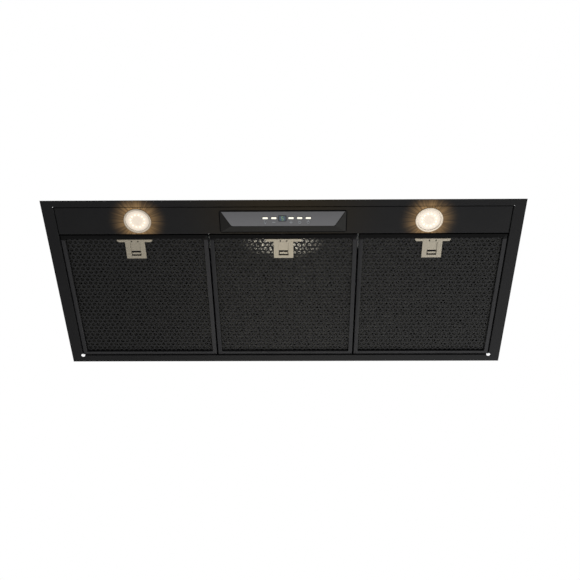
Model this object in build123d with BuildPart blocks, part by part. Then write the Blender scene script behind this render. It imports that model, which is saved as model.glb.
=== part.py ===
from build123d import *
import os
from math import atan2, cos, degrees, hypot, radians, sin, tan

os.makedirs("parts", exist_ok=True)

# A range hood insert, which hangs in a cabinet's cut-out over a cooktop. Seen from below
# it is a steel flange round three hinged mesh filters with sprung latches, and a front
# panel with two lamps and a sloped control housing. The blower stands above them in its
# motor box, and blows up through the duct collar and its two damper flaps. The body's
# front slopes back, so that it clears the cabinet's front rail.
# +X is right and +Y is towards the wall, as seen by the cook; +Z is up. The origin is the
# middle of the flange's upper face, which is the face that meets the cabinet.

# ---- Driving dimensions, in millimetres and degrees ----

# Chassis: flange, walls and deck
insert_width = 900.0
insert_depth = 387.0
side_flange = 22.5
front_flange = 14.0
rear_flange = 16.5
sheet = 1.0
body_height = 80.0
front_height = 18.0
slope_depth = 40.5
wall_lip = 12.0
flange_bend = 0.9
front_relief_radius = 1.3
rear_relief_radius = 4.0
deck_rim_height = 8.0
deck_rim_gap = 8.0

# Two holes in each side wall for the screws that hold the insert in its cabinet
fixing_radius = 2.75
fixing_spacing = 220.0
fixing_height = 45.0

# Slot in the deck and the supply box's floor for the wiring
wiring_slot_length = 30.0
wiring_slot_width = 16.0

# Front panel, set a little above the flange's lower face
panel_depth = 57.7
panel_gap = 1.5
panel_recess = 1.3
panel_front_turn = 14.0
panel_rear_turn = 12.0

# Grease filters
filter_count = 3
filter_side_gap = 1.75
filter_gap = 3.5
filter_front_gap = 3.0
filter_rear_gap = 0.5
filter_recess = 2.0
filter_height = 10.0
filter_swing = 45.0
frame_face = 8.0
frame_bevel = 1.0
frame_sheet = 0.8
mesh_recess = 4.0
grille_sheet = 0.6
pack_fit = 0.2
hex_across = 40.0
hex_pitch = 49.0
hex_border = 46.0

# Rear tabs of each filter, which turn in slots of the rear wall
tab_width = 22.0
tab_offset = 45.0
tab_sheet = 1.0
tab_rise = 3.0
tab_reach = 5.0
tab_clearance = 0.3
tab_side_clearance = 1.0

# Latches: a fixed cover, a slider with a finger bridge and tongue, and a leaf spring
latch_travel = 3.0
latch_offset = 2.3
latch_head_width = 67.8
latch_head_depth = 5.5
latch_stem_width = 37.8
latch_depth = 42.5
latch_drop = 2.8
latch_window = 19.0
slider_sheet = 0.8
slider_lift = 0.1
slider_side_gap = 0.25
spring_room = 0.7
grip_slot_length = 18.0
grip_slot_depth = 3.0
grip_bridge_depth = 4.1
grip_room = 0.2
grip_edge = 1.5
grip_drop = 1.5
tongue_width = 9.0
tongue_gap = 0.6
tongue_clearance = 0.4
mouth_margin = 1.0
notch_width = 2.6
notch_depth = 3.0
spring_leaf = 0.3
spring_crown = 9.0
spring_gap = 0.3

# Lamps
lamp_spacing = 547.5
lamp_setback = 43.8
lamp_radius = 26.25
lamp_rim = 1.6
lamp_bore = 21.8
lens_recess = 0.8
lens_thickness = 1.5
lens_fit = 0.15
board_thickness = 1.6
sink_size = 46.0
sink_base = 2.5
fin_count = 6
fin_pitch = 8.0
fin_thickness = 1.2
fin_height = 8.0

# Control housing: a hipped wedge under the panel, with a fascia on its long slope
housing_width = 237.2
housing_setback = 23.7
housing_depth = 45.1
housing_drop = 10.5
ridge_width = 194.6
ridge_setback = 27.3
housing_wall = 2.2
fascia_sheet = 0.5
fascia_margin = 1.5
fascia_corner = 6.0
fascia_fit = 0.1
clip_width = 8.0
clip_leg = 1.6
clip_barb = 0.9
clip_height = 2.2
clip_clearance = 0.3
clip_inset = 1.0
cutout_margin = 7.0

# Keys and display, in a row of equal pitch
key_pitch = 16.1
key_row_slots = 6
key_row_middle = 7.0
key_slope_place = 13.2
key_length = 10.5
key_depth = 4.0
key_proud = 0.5
key_travel = 0.8
key_fit = 0.15
key_shoulder = 1.2
key_shoulder_thick = 0.8
key_stem = 3.0
key_stem_length = 1.0
switch_size = 5.0
switch_gap = 0.2
display_width = 15.5
display_depth = 11.4
display_slope_place = 14.2
display_edge = 1.0
digit_edge = 1.5
control_board_width = 150.0
control_board_depth = 22.0
control_board_drop = 9.0
post_size = 3.0
post_inset = 5.0

# Motor box, duct collar and dampers
motor_box_width = 380.0
motor_box_depth = 208.0
motor_box_height = 180.0
motor_box_foot = 16.0
motor_box_setback = 2.0
duct_offset = 12.0
duct_radius = 75.0
duct_wall = 0.8
duct_height = 45.0
duct_plate_width = 180.0
duct_hole_radius = 71.0
lug_thick = 2.0
damper_rod_radius = 1.5
damper_sheet = 0.8
damper_gap = 1.2
damper_seat = 0.3
damper_split = 3.3
ear_size = 4.4
ear_thick = 1.0
ear_near = 24.0
ear_far = 46.0
pin_fit = 0.1

# Blower: scroll, wheel and motor, all on one axis along X; the inlet is on the right
blower_offset = -16.0
blower_axis_z = 150.0
scroll_width = 108.0
scroll_first_radius = 74.0
scroll_growth = 10.0
outlet_flare = 12.0
side_margin = 3.0
inlet_radius = 48.0
hanger_width = 16.0
wheel_radius = 62.0
wheel_width = 100.0
wheel_ring = 12.0
wheel_sheet = 1.2
blade_count = 18
blade_sheet = 1.0
blade_lean = 5.0
blade_bow = 1.5
hub_radius = 12.0
hub_length = 22.0
shaft_radius = 4.0
shaft_fit = 0.05
shaft_step = 0.5
motor_radius = 42.0
motor_length = 72.0
boss_radius = 14.0
boss_height = 3.0
boss_fit = 0.3
capacitor_width = 28.0
capacitor_length = 50.0
capacitor_height = 40.0
capacitor_corner = 3.0
tab_blade = 6.3
capacitor_offset = -66.0
capacitor_z = 200.0

# Supply box on the deck
supply_width = 130.0
supply_depth = 90.0
supply_height = 42.0
supply_inset = 135.0
supply_lid_turn = 8.0
supply_fit = 0.3
terminal_count = 3
terminal_pitch = 12.0
terminal_height = 14.0
terminal_depth = 16.0
gland_bore = 4.5
gland_radius = 9.0
gland_nut_across = 24.0
gland_nut = 5.0
gland_cap_across = 20.0
gland_length = 14.0
gland_shank = 8.0
wiring_offset = -43.0
board_offset = 3.0
board_size = 60.0
relay_count = 3
relay_pitch = 18.0
relay_length = 28.0
relay_width = 13.0
relay_height = 15.0
terminal_offset = 47.0
supply_lip = 14.0

# Screws: hexagon heads, all alike
screw_across = 7.0
screw_head = 2.6
foot_screw_spacing = 140.0
collar_screw_spacing = 150.0

# ---- Places worked out from them ----

front_edge = -insert_depth / 2
opening_width = insert_width - 2 * side_flange
opening_front = front_edge + front_flange
opening_rear = -front_edge - rear_flange
opening_depth = opening_rear - opening_front
opening_middle = (opening_front + opening_rear) / 2
wall_front = opening_front - sheet
wall_rear = opening_rear + sheet
deck_top = body_height + sheet
deck_hole_width = motor_box_width - 2 * (deck_rim_gap + 2 * sheet)
deck_hole_depth = motor_box_depth - 2 * (deck_rim_gap + 2 * sheet)

panel_low = panel_recess - sheet
panel_high = panel_low + sheet
panel_width = opening_width - 2 * panel_gap
panel_front = opening_front + panel_gap
panel_rear = panel_front + panel_depth

filter_low = filter_recess - sheet
filter_high = filter_low + filter_height
filter_front = panel_rear + filter_front_gap
filter_rear = opening_rear - filter_rear_gap
filter_depth = filter_rear - filter_front
filter_middle = (filter_front + filter_rear) / 2
filter_room = opening_width - 2 * filter_side_gap
filter_width = (filter_room - (filter_count - 1) * filter_gap) / filter_count
filter_pitch = filter_width + filter_gap
mesh_low = filter_low + mesh_recess
mesh_high = mesh_low + grille_sheet
pack_width = filter_width - 2 * frame_sheet - 2 * pack_fit
pack_depth = filter_depth - 2 * frame_sheet - 2 * pack_fit

slot_low = filter_low + tab_rise - tab_clearance
slot_high = (
    filter_low
    + sheet * tan(radians(filter_swing))
    + (tab_rise + tab_sheet) / cos(radians(filter_swing))
    + tab_clearance
)

cover_front = filter_front + frame_face + latch_offset
cover_rear = cover_front + latch_depth
cover_low = mesh_low - latch_drop
cover_inner_rear = cover_rear - frame_sheet
slider_width = latch_stem_width - 2 * frame_sheet - 2 * slider_side_gap
slider_high = mesh_low - slider_lift
slider_low = slider_high - slider_sheet
slider_front = cover_front + latch_head_depth
slider_rear = cover_inner_rear - latch_travel - spring_room
bridge_rear = slider_rear - grip_edge - latch_travel - grip_room
bridge_front = bridge_rear - grip_bridge_depth
tongue_tip = panel_rear + tongue_gap

housing_front = front_edge + housing_setback
housing_rear = housing_front + housing_depth
housing_middle = (housing_front + housing_rear) / 2
clip_x = housing_width / 2 - clip_leg / 2 - clip_inset
clip_spread = housing_depth / 2
ridge_y = housing_front + ridge_setback
ridge_z = panel_low - housing_drop
slope = atan2(housing_drop, ridge_setback)
slope_length = hypot(housing_drop, ridge_setback)
fascia_face = Plane(
    origin=(0, housing_front, panel_low), x_dir=(1, 0, 0), z_dir=(0, -sin(slope), -cos(slope))
)
key_row_length = (key_row_slots - 1) * key_pitch
key_slots = [
    key_row_middle - key_row_length / 2 + slot * key_pitch for slot in range(key_row_slots)
]
display_x = key_slots[2]
key_places = {
    "key_light": key_slots[0],
    "key_minus": key_slots[1],
    "key_plus": key_slots[3],
    "key_timer": key_slots[4],
    "key_power": key_slots[5],
}

lamp_y = front_edge + lamp_setback
lamp_places = [(-lamp_spacing / 2, lamp_y), (lamp_spacing / 2, lamp_y)]

motor_box_y = wall_rear - motor_box_setback - motor_box_foot - motor_box_depth / 2
duct_y = motor_box_y + duct_offset
box_top = deck_top + motor_box_height
flap_low = box_top + damper_seat
rod_z = flap_low + ear_size / 2
hanger_x = scroll_width / 2 + sheet + hanger_width / 2
blower_axis_y = motor_box_y + blower_offset
blower_axis = Plane(origin=(0, blower_axis_y, blower_axis_z), x_dir=(0, 1, 0), z_dir=(1, 0, 0))
rod_axis = Plane(origin=(0, duct_y, rod_z), x_dir=(0, 1, 0), z_dir=(1, 0, 0))
capacitor_y = motor_box_y + capacitor_offset

supply_x = supply_inset - insert_width / 2
supply_y = motor_box_y
wiring_x = supply_x + wiring_offset
board_x = supply_x + board_offset
terminal_x = supply_x + terminal_offset
supply_low = deck_top
supply_high = supply_low + supply_height
lid_grow = sheet + supply_fit
gland_plane = Plane(
    origin=(terminal_x, supply_y + supply_depth / 2, supply_low + supply_height / 2),
    x_dir=(-1, 0, 0),
    z_dir=(0, 1, 0),
)


def save(piece, label):
    """Label a finished piece and write it."""
    piece.part.label = label
    export_step(piece.part, f"parts/{label}.step")


# ---- Chassis: flange and walls folded from one sheet ----

with BuildPart() as chassis_shell:
    with BuildSketch(Plane.XY.offset(-sheet)):
        Rectangle(insert_width, insert_depth)
    extrude(amount=sheet)
    with BuildSketch():
        with Locations((0, opening_middle)):
            Rectangle(opening_width + 2 * sheet, opening_depth + 2 * sheet)
    extrude(amount=body_height)
    with BuildSketch(Plane.XY.offset(-sheet)):
        with Locations((0, opening_middle)):
            Rectangle(opening_width, opening_depth)
    extrude(amount=body_height, mode=Mode.SUBTRACT)
    with BuildSketch(Plane.XY.offset(body_height - sheet)):
        with Locations((0, opening_middle)):
            Rectangle(opening_width - 2 * wall_lip, opening_depth - 2 * wall_lip)
    extrude(amount=sheet, mode=Mode.SUBTRACT)
    # the front slopes back from a low front wall to the deck
    with BuildSketch(Plane.YZ):
        with BuildLine():
            Polyline(
                (wall_front, front_height),
                (wall_front, body_height),
                (wall_front + slope_depth, body_height),
                close=True,
            )
        make_face()
    extrude(amount=insert_width / 2, both=True, mode=Mode.SUBTRACT)
    lower_face = chassis_shell.faces().sort_by(Axis.Z)[0]
    fillet(lower_face.inner_wires()[0].edges(), radius=flange_bend)
    # bend relief: a hole at each corner of the opening, the rear ones larger
    with BuildSketch(Plane.XY.offset(-sheet)):
        with Locations((-opening_width / 2, opening_front), (opening_width / 2, opening_front)):
            Circle(front_relief_radius)
        with Locations((-opening_width / 2, opening_rear), (opening_width / 2, opening_rear)):
            Circle(rear_relief_radius)
    extrude(amount=sheet + rear_relief_radius, mode=Mode.SUBTRACT)
    # slots in the rear wall for the filters' tabs
    with BuildSketch(Plane.XZ.offset(-opening_rear)):
        with Locations((0, (slot_low + slot_high) / 2)):
            with GridLocations(filter_pitch, 0, filter_count, 1):
                with GridLocations(2 * tab_offset, 0, 2, 1):
                    Rectangle(tab_width + 2 * tab_side_clearance, slot_high - slot_low)
    extrude(amount=-sheet, mode=Mode.SUBTRACT)
    # screw holes through both side walls into the cabinet
    with BuildSketch(Plane.YZ):
        with Locations((opening_middle, fixing_height)):
            with GridLocations(fixing_spacing, 0, 2, 1):
                Circle(fixing_radius)
    extrude(amount=insert_width / 2, both=True, mode=Mode.SUBTRACT)
save(chassis_shell, "chassis_shell")

# ---- Deck: closes the slope and the top, with a turned-up rim round the blower's hole ----

with BuildPart() as top_deck:
    with BuildSketch(Plane.YZ):
        with BuildLine():
            Polyline(
                (wall_front, front_height),
                (wall_front + slope_depth, body_height),
                (wall_rear, body_height),
            )
            offset(amount=sheet, kind=Kind.INTERSECTION, side=Side.LEFT)
        make_face()
    extrude(amount=opening_width / 2 + sheet, both=True)
    with BuildSketch(Plane.XY.offset(body_height)):
        with Locations((0, motor_box_y)):
            Rectangle(deck_hole_width + 2 * sheet, deck_hole_depth + 2 * sheet)
    extrude(amount=deck_rim_height)
    with BuildSketch(Plane.XY.offset(body_height)):
        with Locations((0, motor_box_y)):
            Rectangle(deck_hole_width, deck_hole_depth)
        with Locations((wiring_x, supply_y)):
            Rectangle(wiring_slot_width, wiring_slot_length)
    extrude(amount=deck_rim_height, mode=Mode.SUBTRACT)
save(top_deck, "top_deck")

# ---- Front panel: a shallow tray, hung by the lip of its front turn ----

with BuildPart() as front_panel:
    with BuildSketch(Plane.YZ) as panel_section:
        with BuildLine():
            Polyline(
                (opening_front, panel_low + panel_front_turn),
                (panel_front, panel_low + panel_front_turn),
                (panel_front, panel_low),
                (panel_rear, panel_low),
                (panel_rear, panel_low + panel_rear_turn),
            )
            offset(amount=sheet, kind=Kind.INTERSECTION, side=Side.LEFT)
        make_face()
    extrude(amount=panel_width / 2, both=True)
    fillet(
        front_panel.edges().filter_by(Axis.X).group_by(Axis.Z)[0], radius=flange_bend
    )
    with BuildSketch(Plane.XY.offset(panel_low)):
        with Locations(*lamp_places):
            Circle(lamp_bore)
        with Locations((0, housing_middle)):
            Rectangle(ridge_width, housing_depth - 2 * cutout_margin)
            with GridLocations(2 * clip_x, clip_spread, 2, 2):
                Rectangle(clip_leg + 2 * clip_clearance, clip_width + 2 * clip_clearance)
    extrude(amount=sheet, mode=Mode.SUBTRACT)
    # mouths for the latch tongues in the rear turn
    with BuildSketch(Plane.XZ.offset(-panel_rear)):
        with Locations((0, (slider_low + slider_high) / 2)):
            with GridLocations(filter_pitch, 0, filter_count, 1):
                Rectangle(tongue_width + 2 * mouth_margin, slider_sheet + 2 * mouth_margin)
    extrude(amount=sheet, mode=Mode.SUBTRACT)
save(front_panel, "front_panel")

# ---- Lamps: the left and the right one of each piece share a node ----

lens_low = panel_low - lamp_rim + lens_recess
board_top = panel_high + board_thickness

with BuildPart() as lamp_bezels:
    with BuildSketch(Plane.XY.offset(panel_low)):
        with Locations(*lamp_places):
            Circle(lamp_radius)
            Circle(lamp_bore, mode=Mode.SUBTRACT)
    extrude(amount=-lamp_rim)
save(lamp_bezels, "lamp_bezels")

with BuildPart() as lamp_lenses:
    with BuildSketch(Plane.XY.offset(lens_low)):
        with Locations(*lamp_places):
            Circle(lamp_bore - lens_fit)
    extrude(amount=lens_thickness)
save(lamp_lenses, "lamp_lenses")

with BuildPart() as lamp_boards:
    with BuildSketch(Plane.XY.offset(panel_high)):
        with Locations(*lamp_places):
            Rectangle(sink_size, sink_size)
    extrude(amount=board_thickness)
save(lamp_boards, "lamp_boards")

with BuildPart() as lamp_heat_sinks:
    with BuildSketch(Plane.XY.offset(board_top)):
        with Locations(*lamp_places):
            Rectangle(sink_size, sink_size)
    extrude(amount=sink_base)
    with BuildSketch(Plane.XY.offset(board_top + sink_base)):
        with Locations(*lamp_places):
            with GridLocations(fin_pitch, 0, fin_count, 1):
                Rectangle(fin_thickness, sink_size)
    extrude(amount=fin_height)
save(lamp_heat_sinks, "lamp_heat_sinks")

# ---- Control housing: hipped wedge, open above, clipped into the panel ----

post_spread_x = control_board_width - 2 * post_inset
post_spread_y = control_board_depth - 2 * post_inset
with BuildPart() as control_housing:
    with BuildSketch(Plane.YZ):
        with BuildLine():
            Polyline(
                (housing_front, panel_low),
                (ridge_y, ridge_z),
                (housing_rear, panel_low),
                close=True,
            )
        make_face()
    extrude(amount=housing_width / 2, both=True)
    with BuildSketch(Plane.XZ.offset(-housing_rear)):
        with BuildLine():
            Polyline(
                (-housing_width / 2, panel_low),
                (-ridge_width / 2, ridge_z),
                (ridge_width / 2, ridge_z),
                (housing_width / 2, panel_low),
                close=True,
            )
        make_face()
    extrude(amount=housing_depth, mode=Mode.INTERSECT)
    offset(amount=-housing_wall, openings=control_housing.faces().sort_by(Axis.Z)[-1])
    # seat of the fascia, with the fascia's own outline
    with BuildSketch(fascia_face) as fascia_seat:
        with BuildLine():
            Polyline(
                (-housing_width / 2 + 2 * fascia_margin, -fascia_margin),
                (-ridge_width / 2 + fascia_margin / 2, fascia_margin / 2 - slope_length),
                (ridge_width / 2 - fascia_margin / 2, fascia_margin / 2 - slope_length),
                (housing_width / 2 - 2 * fascia_margin, -fascia_margin),
                close=True,
            )
        make_face()
        fillet(fascia_seat.vertices().group_by(Axis.Y)[0], radius=fascia_corner)
    extrude(amount=-fascia_sheet, mode=Mode.SUBTRACT)
    with BuildSketch(fascia_face):
        with Locations(*[(x, -key_slope_place) for x in key_places.values()]):
            Rectangle(key_length + 2 * key_fit, key_depth + 2 * key_fit)
        with Locations((display_x, -display_slope_place)):
            Rectangle(display_width - 2 * display_edge, display_depth - 2 * display_edge)
    extrude(amount=-housing_wall - key_fit, mode=Mode.SUBTRACT)
    # posts for the control board
    with BuildSketch(fascia_face.offset(-housing_wall)):
        with Locations((0, -slope_length / 2)):
            with GridLocations(post_spread_x, post_spread_y, 2, 2):
                Rectangle(post_size, post_size)
    extrude(amount=housing_wall - control_board_drop)
    # snap clips through the panel
    with BuildSketch(Plane.XY.offset(panel_low)):
        with Locations((0, housing_middle)):
            with GridLocations(2 * clip_x, clip_spread, 2, 2):
                Rectangle(clip_leg, clip_width)
    extrude(amount=sheet + clip_clearance + clip_height)
    with BuildSketch(Plane.XY.offset(panel_high + clip_clearance)):
        with Locations((0, housing_middle)):
            with GridLocations(2 * clip_x + clip_barb, clip_spread, 2, 2):
                Rectangle(clip_leg + clip_barb, clip_width)
    extrude(amount=clip_height)
save(control_housing, "control_housing")

with BuildPart() as control_fascia:
    with BuildSketch(fascia_face) as fascia_outline:
        add(fascia_seat.sketch_local)
        offset(amount=-fascia_fit)
        with Locations(*[(x, -key_slope_place) for x in key_places.values()]):
            Rectangle(key_length + 2 * key_fit, key_depth + 2 * key_fit, mode=Mode.SUBTRACT)
        with Locations((display_x, -display_slope_place)):
            Rectangle(
                display_width + 2 * fascia_fit, display_depth + 2 * fascia_fit, mode=Mode.SUBTRACT
            )
    extrude(amount=-fascia_sheet)
save(control_fascia, "control_fascia")

with BuildPart() as display_window:
    with BuildSketch(fascia_face):
        with Locations((display_x, -display_slope_place)):
            Rectangle(display_width, display_depth)
    extrude(amount=-fascia_sheet)
save(display_window, "display_window")

# ---- Keys: cap, shoulder behind the housing's wall, and stem over its switch ----

stem_tip = housing_wall + key_fit + key_shoulder_thick + key_stem_length
for key_name, key_x in key_places.items():
    with BuildPart() as key:
        with BuildSketch(fascia_face.offset(key_proud)):
            with Locations((key_x, -key_slope_place)):
                Rectangle(key_length, key_depth)
        extrude(amount=-key_proud - housing_wall - key_fit)
        with BuildSketch(fascia_face.offset(-housing_wall - key_fit)):
            with Locations((key_x, -key_slope_place)):
                Rectangle(key_length + 2 * key_shoulder, key_depth + 2 * key_shoulder)
        extrude(amount=-key_shoulder_thick)
        with BuildSketch(fascia_face.offset(-stem_tip)):
            with Locations((key_x, -key_slope_place)):
                Rectangle(key_stem, key_stem)
        extrude(amount=key_stem_length)
    save(key, key_name)

with BuildPart() as control_board:
    with BuildSketch(fascia_face.offset(-control_board_drop)):
        with Locations((0, -slope_length / 2)):
            Rectangle(control_board_width, control_board_depth)
    extrude(amount=-board_thickness)
    with BuildSketch(fascia_face.offset(-control_board_drop)):
        with Locations(*[(x, -key_slope_place) for x in key_places.values()]):
            Rectangle(switch_size, switch_size)
    extrude(amount=control_board_drop - stem_tip - key_travel - switch_gap)
    with BuildSketch(fascia_face.offset(-control_board_drop)):
        with Locations((display_x, -display_slope_place)):
            Rectangle(display_width - 2 * digit_edge, display_depth - 2 * digit_edge)
    extrude(amount=control_board_drop - housing_wall - key_fit)
save(control_board, "control_board")

# ---- Grease filters: frame, hexagon grille, mesh pack and latch, one set for each ----

hole_columns = int((pack_width - hex_border) / hex_pitch) + 1
hole_rows = int((pack_depth - hex_border) / (hex_pitch * sin(radians(60)))) + 1


def make_filter_frame(x):
    """Channel folded round the mesh pack, mitred at the corners, with two rear tabs."""
    left, right = x - filter_width / 2, x + filter_width / 2
    with BuildPart() as frame:
        with BuildLine() as rim:
            Polyline(
                (x, filter_front),
                (right, filter_front),
                (right, filter_rear),
                (left, filter_rear),
                (left, filter_front),
                close=True,
            )
        with BuildSketch(Plane(origin=(x, filter_front, 0), x_dir=(0, 1, 0), z_dir=(1, 0, 0))):
            with BuildLine():
                Polyline(
                    (frame_face, filter_high),
                    (0, filter_high),
                    (0, filter_low + frame_bevel),
                    (frame_face, filter_low),
                    (frame_face, mesh_low),
                )
                offset(amount=frame_sheet, side=Side.RIGHT)
            make_face()
        sweep(path=rim.line, transition=Transition.RIGHT)
        with BuildSketch(Plane.XY.offset(filter_low + tab_rise)):
            with Locations((x, opening_rear)):
                with GridLocations(2 * tab_offset, 0, 2, 1):
                    with Locations((0, (tab_reach - filter_rear_gap - frame_sheet) / 2)):
                        Rectangle(tab_width, tab_reach + filter_rear_gap + frame_sheet)
        extrude(amount=tab_sheet)
        # mouth for the latch's tongue
        with BuildSketch(Plane.XZ.offset(-filter_front)):
            with Locations((x, (slider_low + slider_high) / 2)):
                Rectangle(
                    tongue_width + 2 * tongue_clearance, slider_sheet + 2 * tongue_clearance
                )
        extrude(amount=-frame_face, mode=Mode.SUBTRACT)
    return frame


def make_grille(x):
    """Sheet of hexagon holes. The real one has them every 10 mm; these stand for them."""
    with BuildPart() as grille:
        with BuildSketch(Plane.XY.offset(mesh_low)):
            with Locations((x, filter_middle)):
                Rectangle(pack_width, pack_depth)
            with Locations(Location((x, filter_middle, 0), 90)):
                with HexLocations(hex_pitch / 2, hole_rows, hole_columns):
                    RegularPolygon(hex_across / 2, 6, major_radius=False, mode=Mode.SUBTRACT)
        extrude(amount=grille_sheet)
    return grille


def make_mesh_core(x):
    """Pack of layered aluminium mesh behind the grille."""
    with BuildPart() as core:
        with BuildSketch(Plane.XY.offset(mesh_high)):
            with Locations((x, filter_middle)):
                Rectangle(pack_width, pack_depth)
        extrude(amount=filter_high - frame_sheet - mesh_high)
    return core


def make_latch_cover(x):
    """T-shaped pressing under the grille, open above, with a window and two notches."""
    head_middle = cover_front + latch_head_depth / 2
    window_front = slider_front + latch_travel + grip_room
    window_rear = bridge_rear + latch_travel + grip_room
    with BuildPart() as cover:
        with BuildSketch(Plane.XY.offset(cover_low)) as outline:
            with Locations((x, head_middle)):
                Rectangle(latch_head_width, latch_head_depth)
            with Locations((x, (cover_front + cover_rear) / 2)):
                Rectangle(latch_stem_width, latch_depth)
            ends = outline.vertices().group_by(Axis.X)
            chamfer(
                (ends[0] + ends[-1]).sort_by(Axis.Y)[2:], length=latch_head_depth / 2
            )
        extrude(amount=latch_drop)
        with BuildSketch(Plane.XY.offset(cover_low + frame_sheet)):
            add(outline.sketch_local)
            offset(amount=-frame_sheet)
        extrude(amount=latch_drop, mode=Mode.SUBTRACT)
        with BuildSketch(Plane.XY.offset(cover_low)):
            with Locations((x, (window_front + window_rear) / 2)):
                Rectangle(latch_window, window_rear - window_front)
            with Locations((x, slider_front - notch_depth / 2)):
                with GridLocations(tongue_width + 2 * tongue_clearance + notch_width, 0, 2, 1):
                    Rectangle(notch_width, notch_depth)
        extrude(amount=frame_sheet, mode=Mode.SUBTRACT)
        with BuildSketch(Plane.XZ.offset(-cover_front)):
            with Locations((x, (slider_low + slider_high) / 2)):
                Rectangle(
                    tongue_width + 2 * tongue_clearance, slider_sheet + 2 * tongue_clearance
                )
        extrude(amount=-latch_head_depth, mode=Mode.SUBTRACT)
    return cover


def make_latch_slider(x):
    """Plate with a tongue, and a finger bridge pressed down between two slots."""
    slots_front = bridge_front - grip_slot_depth
    slots_rear = slider_rear - grip_edge
    with BuildPart() as slider:
        with BuildSketch(Plane.XY.offset(slider_low)):
            with Locations((x, (slider_front + slider_rear) / 2)):
                Rectangle(slider_width, slider_rear - slider_front)
            with Locations((x, (tongue_tip + slider_front) / 2)):
                Rectangle(tongue_width, slider_front - tongue_tip)
            with Locations((x, (slots_front + slots_rear) / 2)):
                Rectangle(grip_slot_length, slots_rear - slots_front, mode=Mode.SUBTRACT)
        extrude(amount=slider_sheet)
        with BuildSketch(Plane.XZ.offset(-bridge_rear)):
            with BuildLine():
                Polyline(
                    (x - grip_slot_length / 2 - slider_sheet, slider_low),
                    (x - grip_slot_length / 2, slider_low),
                    (x - grip_slot_length / 2 + grip_drop, slider_low - grip_drop),
                    (x + grip_slot_length / 2 - grip_drop, slider_low - grip_drop),
                    (x + grip_slot_length / 2, slider_low),
                    (x + grip_slot_length / 2 + slider_sheet, slider_low),
                )
                offset(amount=slider_sheet, side=Side.LEFT)
            make_face()
        extrude(amount=grip_bridge_depth)
    return slider


def make_latch_spring(x):
    """Leaf bent between the cover's rear wall and the slider."""
    seat = cover_inner_rear - spring_gap / 2
    crown = slider_rear + spring_gap + spring_leaf
    with BuildPart() as spring:
        with BuildSketch(Plane.XY.offset(slider_low)):
            with BuildLine():
                Polyline(
                    (x - slider_width / 2, seat),
                    (x - spring_crown / 2, crown),
                    (x + spring_crown / 2, crown),
                    (x + slider_width / 2, seat),
                )
                offset(amount=spring_leaf, side=Side.RIGHT)
            make_face()
        extrude(amount=slider_sheet)
    return spring


filter_makers = {
    "frame": make_filter_frame,
    "grille": make_grille,
    "core": make_mesh_core,
    "latch_cover": make_latch_cover,
    "latch_slider": make_latch_slider,
    "latch_spring": make_latch_spring,
}
for number in range(filter_count):
    filter_x = (number - (filter_count - 1) / 2) * filter_pitch
    for piece_name, make_piece in filter_makers.items():
        save(make_piece(filter_x), f"filter_{number + 1}_{piece_name}")

# ---- Motor box, duct collar and damper flaps ----

box_base = Plane((0, motor_box_y, deck_top))
duct_base = Plane((0, duct_y, box_top))

with BuildPart() as motor_box:
    with BuildSketch(box_base):
        Rectangle(
            motor_box_width + 2 * motor_box_foot, motor_box_depth + 2 * motor_box_foot
        )
    extrude(amount=sheet)
    with BuildSketch(box_base):
        Rectangle(motor_box_width, motor_box_depth)
    extrude(amount=motor_box_height)
    with BuildSketch(box_base):
        Rectangle(motor_box_width - 2 * sheet, motor_box_depth - 2 * sheet)
    extrude(amount=motor_box_height - sheet, mode=Mode.SUBTRACT)
    with BuildSketch(duct_base):
        Circle(duct_hole_radius)
    extrude(amount=-sheet, mode=Mode.SUBTRACT)
save(motor_box, "motor_box")

with BuildPart() as duct_collar:
    with BuildSketch(duct_base):
        Rectangle(duct_plate_width, duct_plate_width)
    extrude(amount=sheet)
    with BuildSketch(duct_base):
        Circle(duct_radius)
    extrude(amount=duct_height)
    with BuildSketch(duct_base):
        Circle(duct_radius - duct_wall)
    extrude(amount=duct_height, mode=Mode.SUBTRACT)
    # lugs that hold the pin; the flaps fall on the box's top, which shows inside the tube
    with BuildSketch(duct_base):
        with GridLocations(2 * duct_radius - 2 * duct_wall - lug_thick, 0, 2, 1):
            Rectangle(lug_thick + duct_wall, ear_size)
    extrude(amount=rod_z + ear_size / 2 - box_top)
    with BuildSketch(rod_axis):
        Circle(damper_rod_radius + shaft_fit)
    extrude(amount=duct_radius - duct_wall, both=True, mode=Mode.SUBTRACT)
save(duct_collar, "duct_collar")

with BuildPart() as damper_pin:
    with BuildSketch(rod_axis):
        Circle(damper_rod_radius)
    extrude(amount=duct_radius - duct_wall - pin_fit, both=True)
save(damper_pin, "damper_pin")


def make_damper_flap(side):
    """Half disc hung on the pin by two ears; side is -1 for the front flap, 1 for the rear."""
    ears = (side * ear_far, -side * ear_near)
    with BuildPart() as flap:
        with BuildSketch(duct_base.offset(damper_seat)):
            Circle(duct_radius - duct_wall - damper_gap)
            with Locations((0, -side * (duct_radius - damper_split))):
                Rectangle(2 * duct_radius, 2 * duct_radius, mode=Mode.SUBTRACT)
        extrude(amount=damper_sheet)
        for place in ears:
            with BuildSketch(rod_axis.offset(place)):
                Rectangle(ear_size, ear_size)
                with Locations((side * damper_split, (damper_sheet - ear_size) / 2)):
                    Rectangle(2 * damper_split, damper_sheet)
            extrude(amount=ear_thick / 2, both=True)
        with BuildSketch(rod_axis):
            Circle(damper_rod_radius + pin_fit)
        extrude(amount=duct_radius, both=True, mode=Mode.SUBTRACT)
    return flap


save(make_damper_flap(-1), "damper_flap_front")
save(make_damper_flap(1), "damper_flap_rear")

# ---- Blower: scroll between two side plates, wheel, shaft and motor ----

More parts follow.
